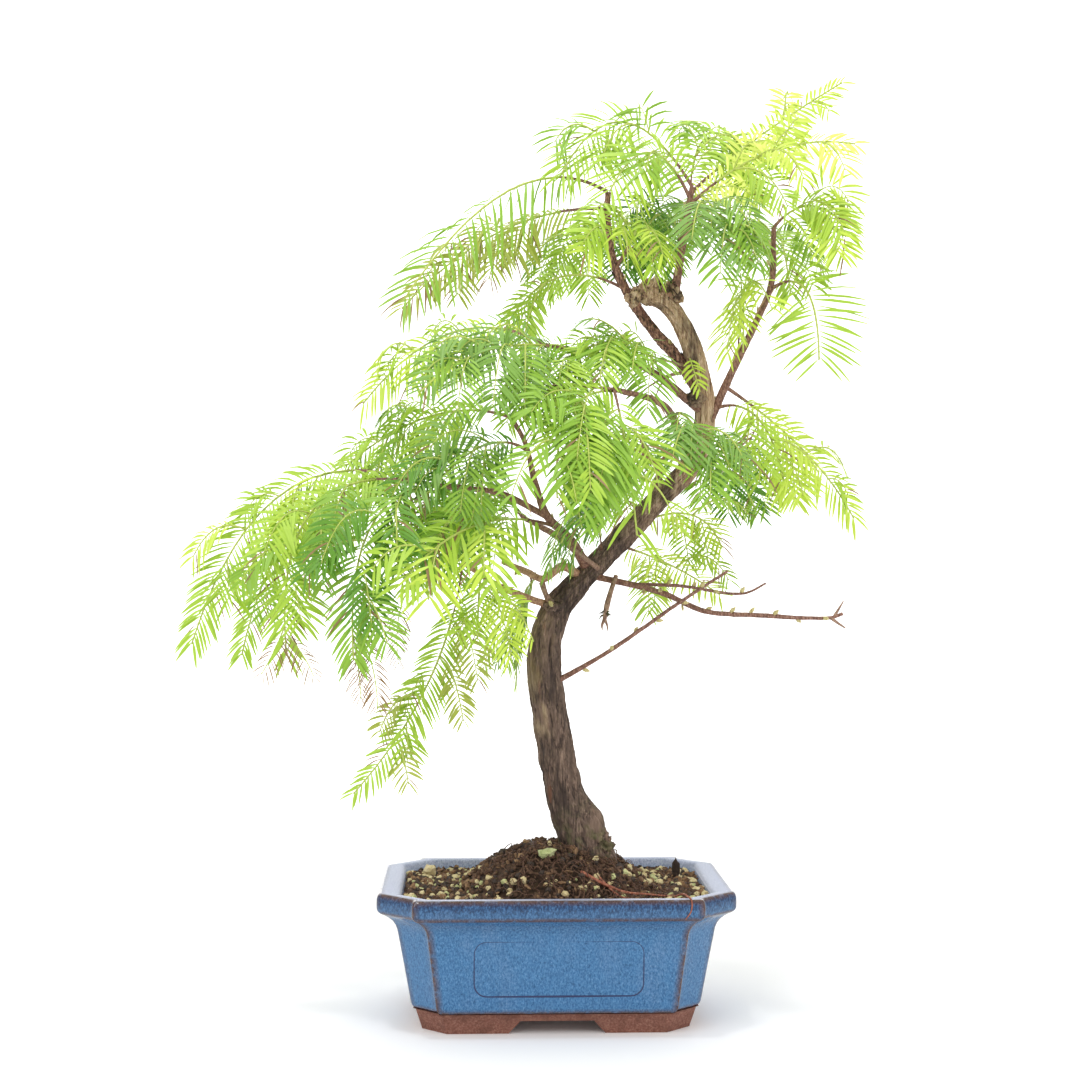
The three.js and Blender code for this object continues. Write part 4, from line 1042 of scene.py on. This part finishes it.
lone("green_stone", (-4, -21, 82.5), (7.5, 5.5, 4.6),
     loose("pale_green_stone", "#8f9a5e #bcc48a #e3dfb2", 3.0, "#7f7a58", 0.3), 3)
lone("bark_chip", (63, 20, 67.5), (4.5, 3.4, 10),
     loose("charred_bark_chip", "#1d1613 #33271f #55433a", 2.0), 2)
lone("pumice_lump_left", (-62, 30, 66), (8, 6, 5.4),
     loose("large_pumice", "#c2ad7c #e2d3a6 #f1e8c8", 2.0, "#a3895a"), 5)

# ---- Floor, light and camera

# A pale sweep: a floor that curves up behind the part. Lengths here are metres.
bm = bmesh.new()
profile = [(-3.0, 0), (1.4, 0), (1.9, 0.08), (2.3, 0.35), (2.5, 0.8), (2.55, 3.5)]
verts = [bm.verts.new((-4, y, z)) for y, z in profile]
edges = [bm.edges.new(pair) for pair in zip(verts, verts[1:])]
moved = bmesh.ops.extrude_edge_only(bm, edges=edges)
bmesh.ops.translate(bm, verts=[g for g in moved["geom"] if isinstance(g, bmesh.types.BMVert)], vec=(8, 0, 0))
mesh = to_mesh(bm, outward=False)
mesh.polygons.foreach_set("use_smooth", [True] * len(mesh.polygons))
paper, _ = surface("white_paper_sweep", Roughness=0.9, Base_Color="#fafafa", Emission_Color="#fafafa",
                   Emission_Strength=0.02)
mesh.materials.append(paper)
placed("studio_sweep", mesh)


def area(name, spot, aim, size, power):
    light = bpy.data.lights.new(name, "AREA")
    light.shape, light.size, light.energy = "DISK", size, power
    made = placed(name, light)
    made.location = spot
    made.rotation_euler = (Vector(aim) - Vector(spot)).to_track_quat("-Z", "Y").to_euler()


world = bpy.data.worlds.new("studio")
bpy.context.scene.world = world
world.use_nodes = True
world.node_tree.nodes["Background"].inputs["Color"].default_value = (1, 1, 1, 1)
world.node_tree.nodes["Background"].inputs["Strength"].default_value = 0.78
area("key", (-0.9, -1.4, 1.6), (0, 0, 0.25), 1.2, 12)
area("fill", (1.4, -1.1, 1.0), (0, 0, 0.25), 1.4, 6)
area("top", (0.1, 0.3, 2.0), (0, 0, 0.2), 1.4, 6)
area("glint", (-0.25, -0.45, 1.9), (0, 0, 0.1), 0.15, 5)
area("back_wash", (0, 1.0, 1.4), (0, 2.5, 0.7), 1.6, 34)

# Camera: EYE mm up, SIDE to the right and AWAY in front of the pot's middle. FOCAL and SHIFT are in pixels,
# with WIDE of them across.
AZIMUTH, SIDE, AWAY = math.radians(-1.94), -6.7, 994
FOCAL, SHIFT, WIDE, SENSOR = 1997, -2, 1080, 36
camera = bpy.data.cameras.new("camera")
camera.sensor_width = SENSOR
camera.lens = FOCAL / WIDE * SENSOR
camera.shift_y = SHIFT / WIDE
camera.clip_start, camera.clip_end = 0.01, 50
eye = placed("camera", camera)
right = Vector((math.cos(AZIMUTH), math.sin(AZIMUTH), 0))
forward = Vector((-math.sin(AZIMUTH), math.cos(AZIMUTH), 0))
eye.location = Vector(POT_AT) + right * SIDE * MM - forward * AWAY * MM + Vector((0, 0, EYE * MM))
eye.rotation_euler = (math.pi / 2, 0, AZIMUTH)
bpy.context.scene.camera = eye
bpy.context.scene.view_settings.view_transform = "Standard"

bpy.context.view_layer.update()
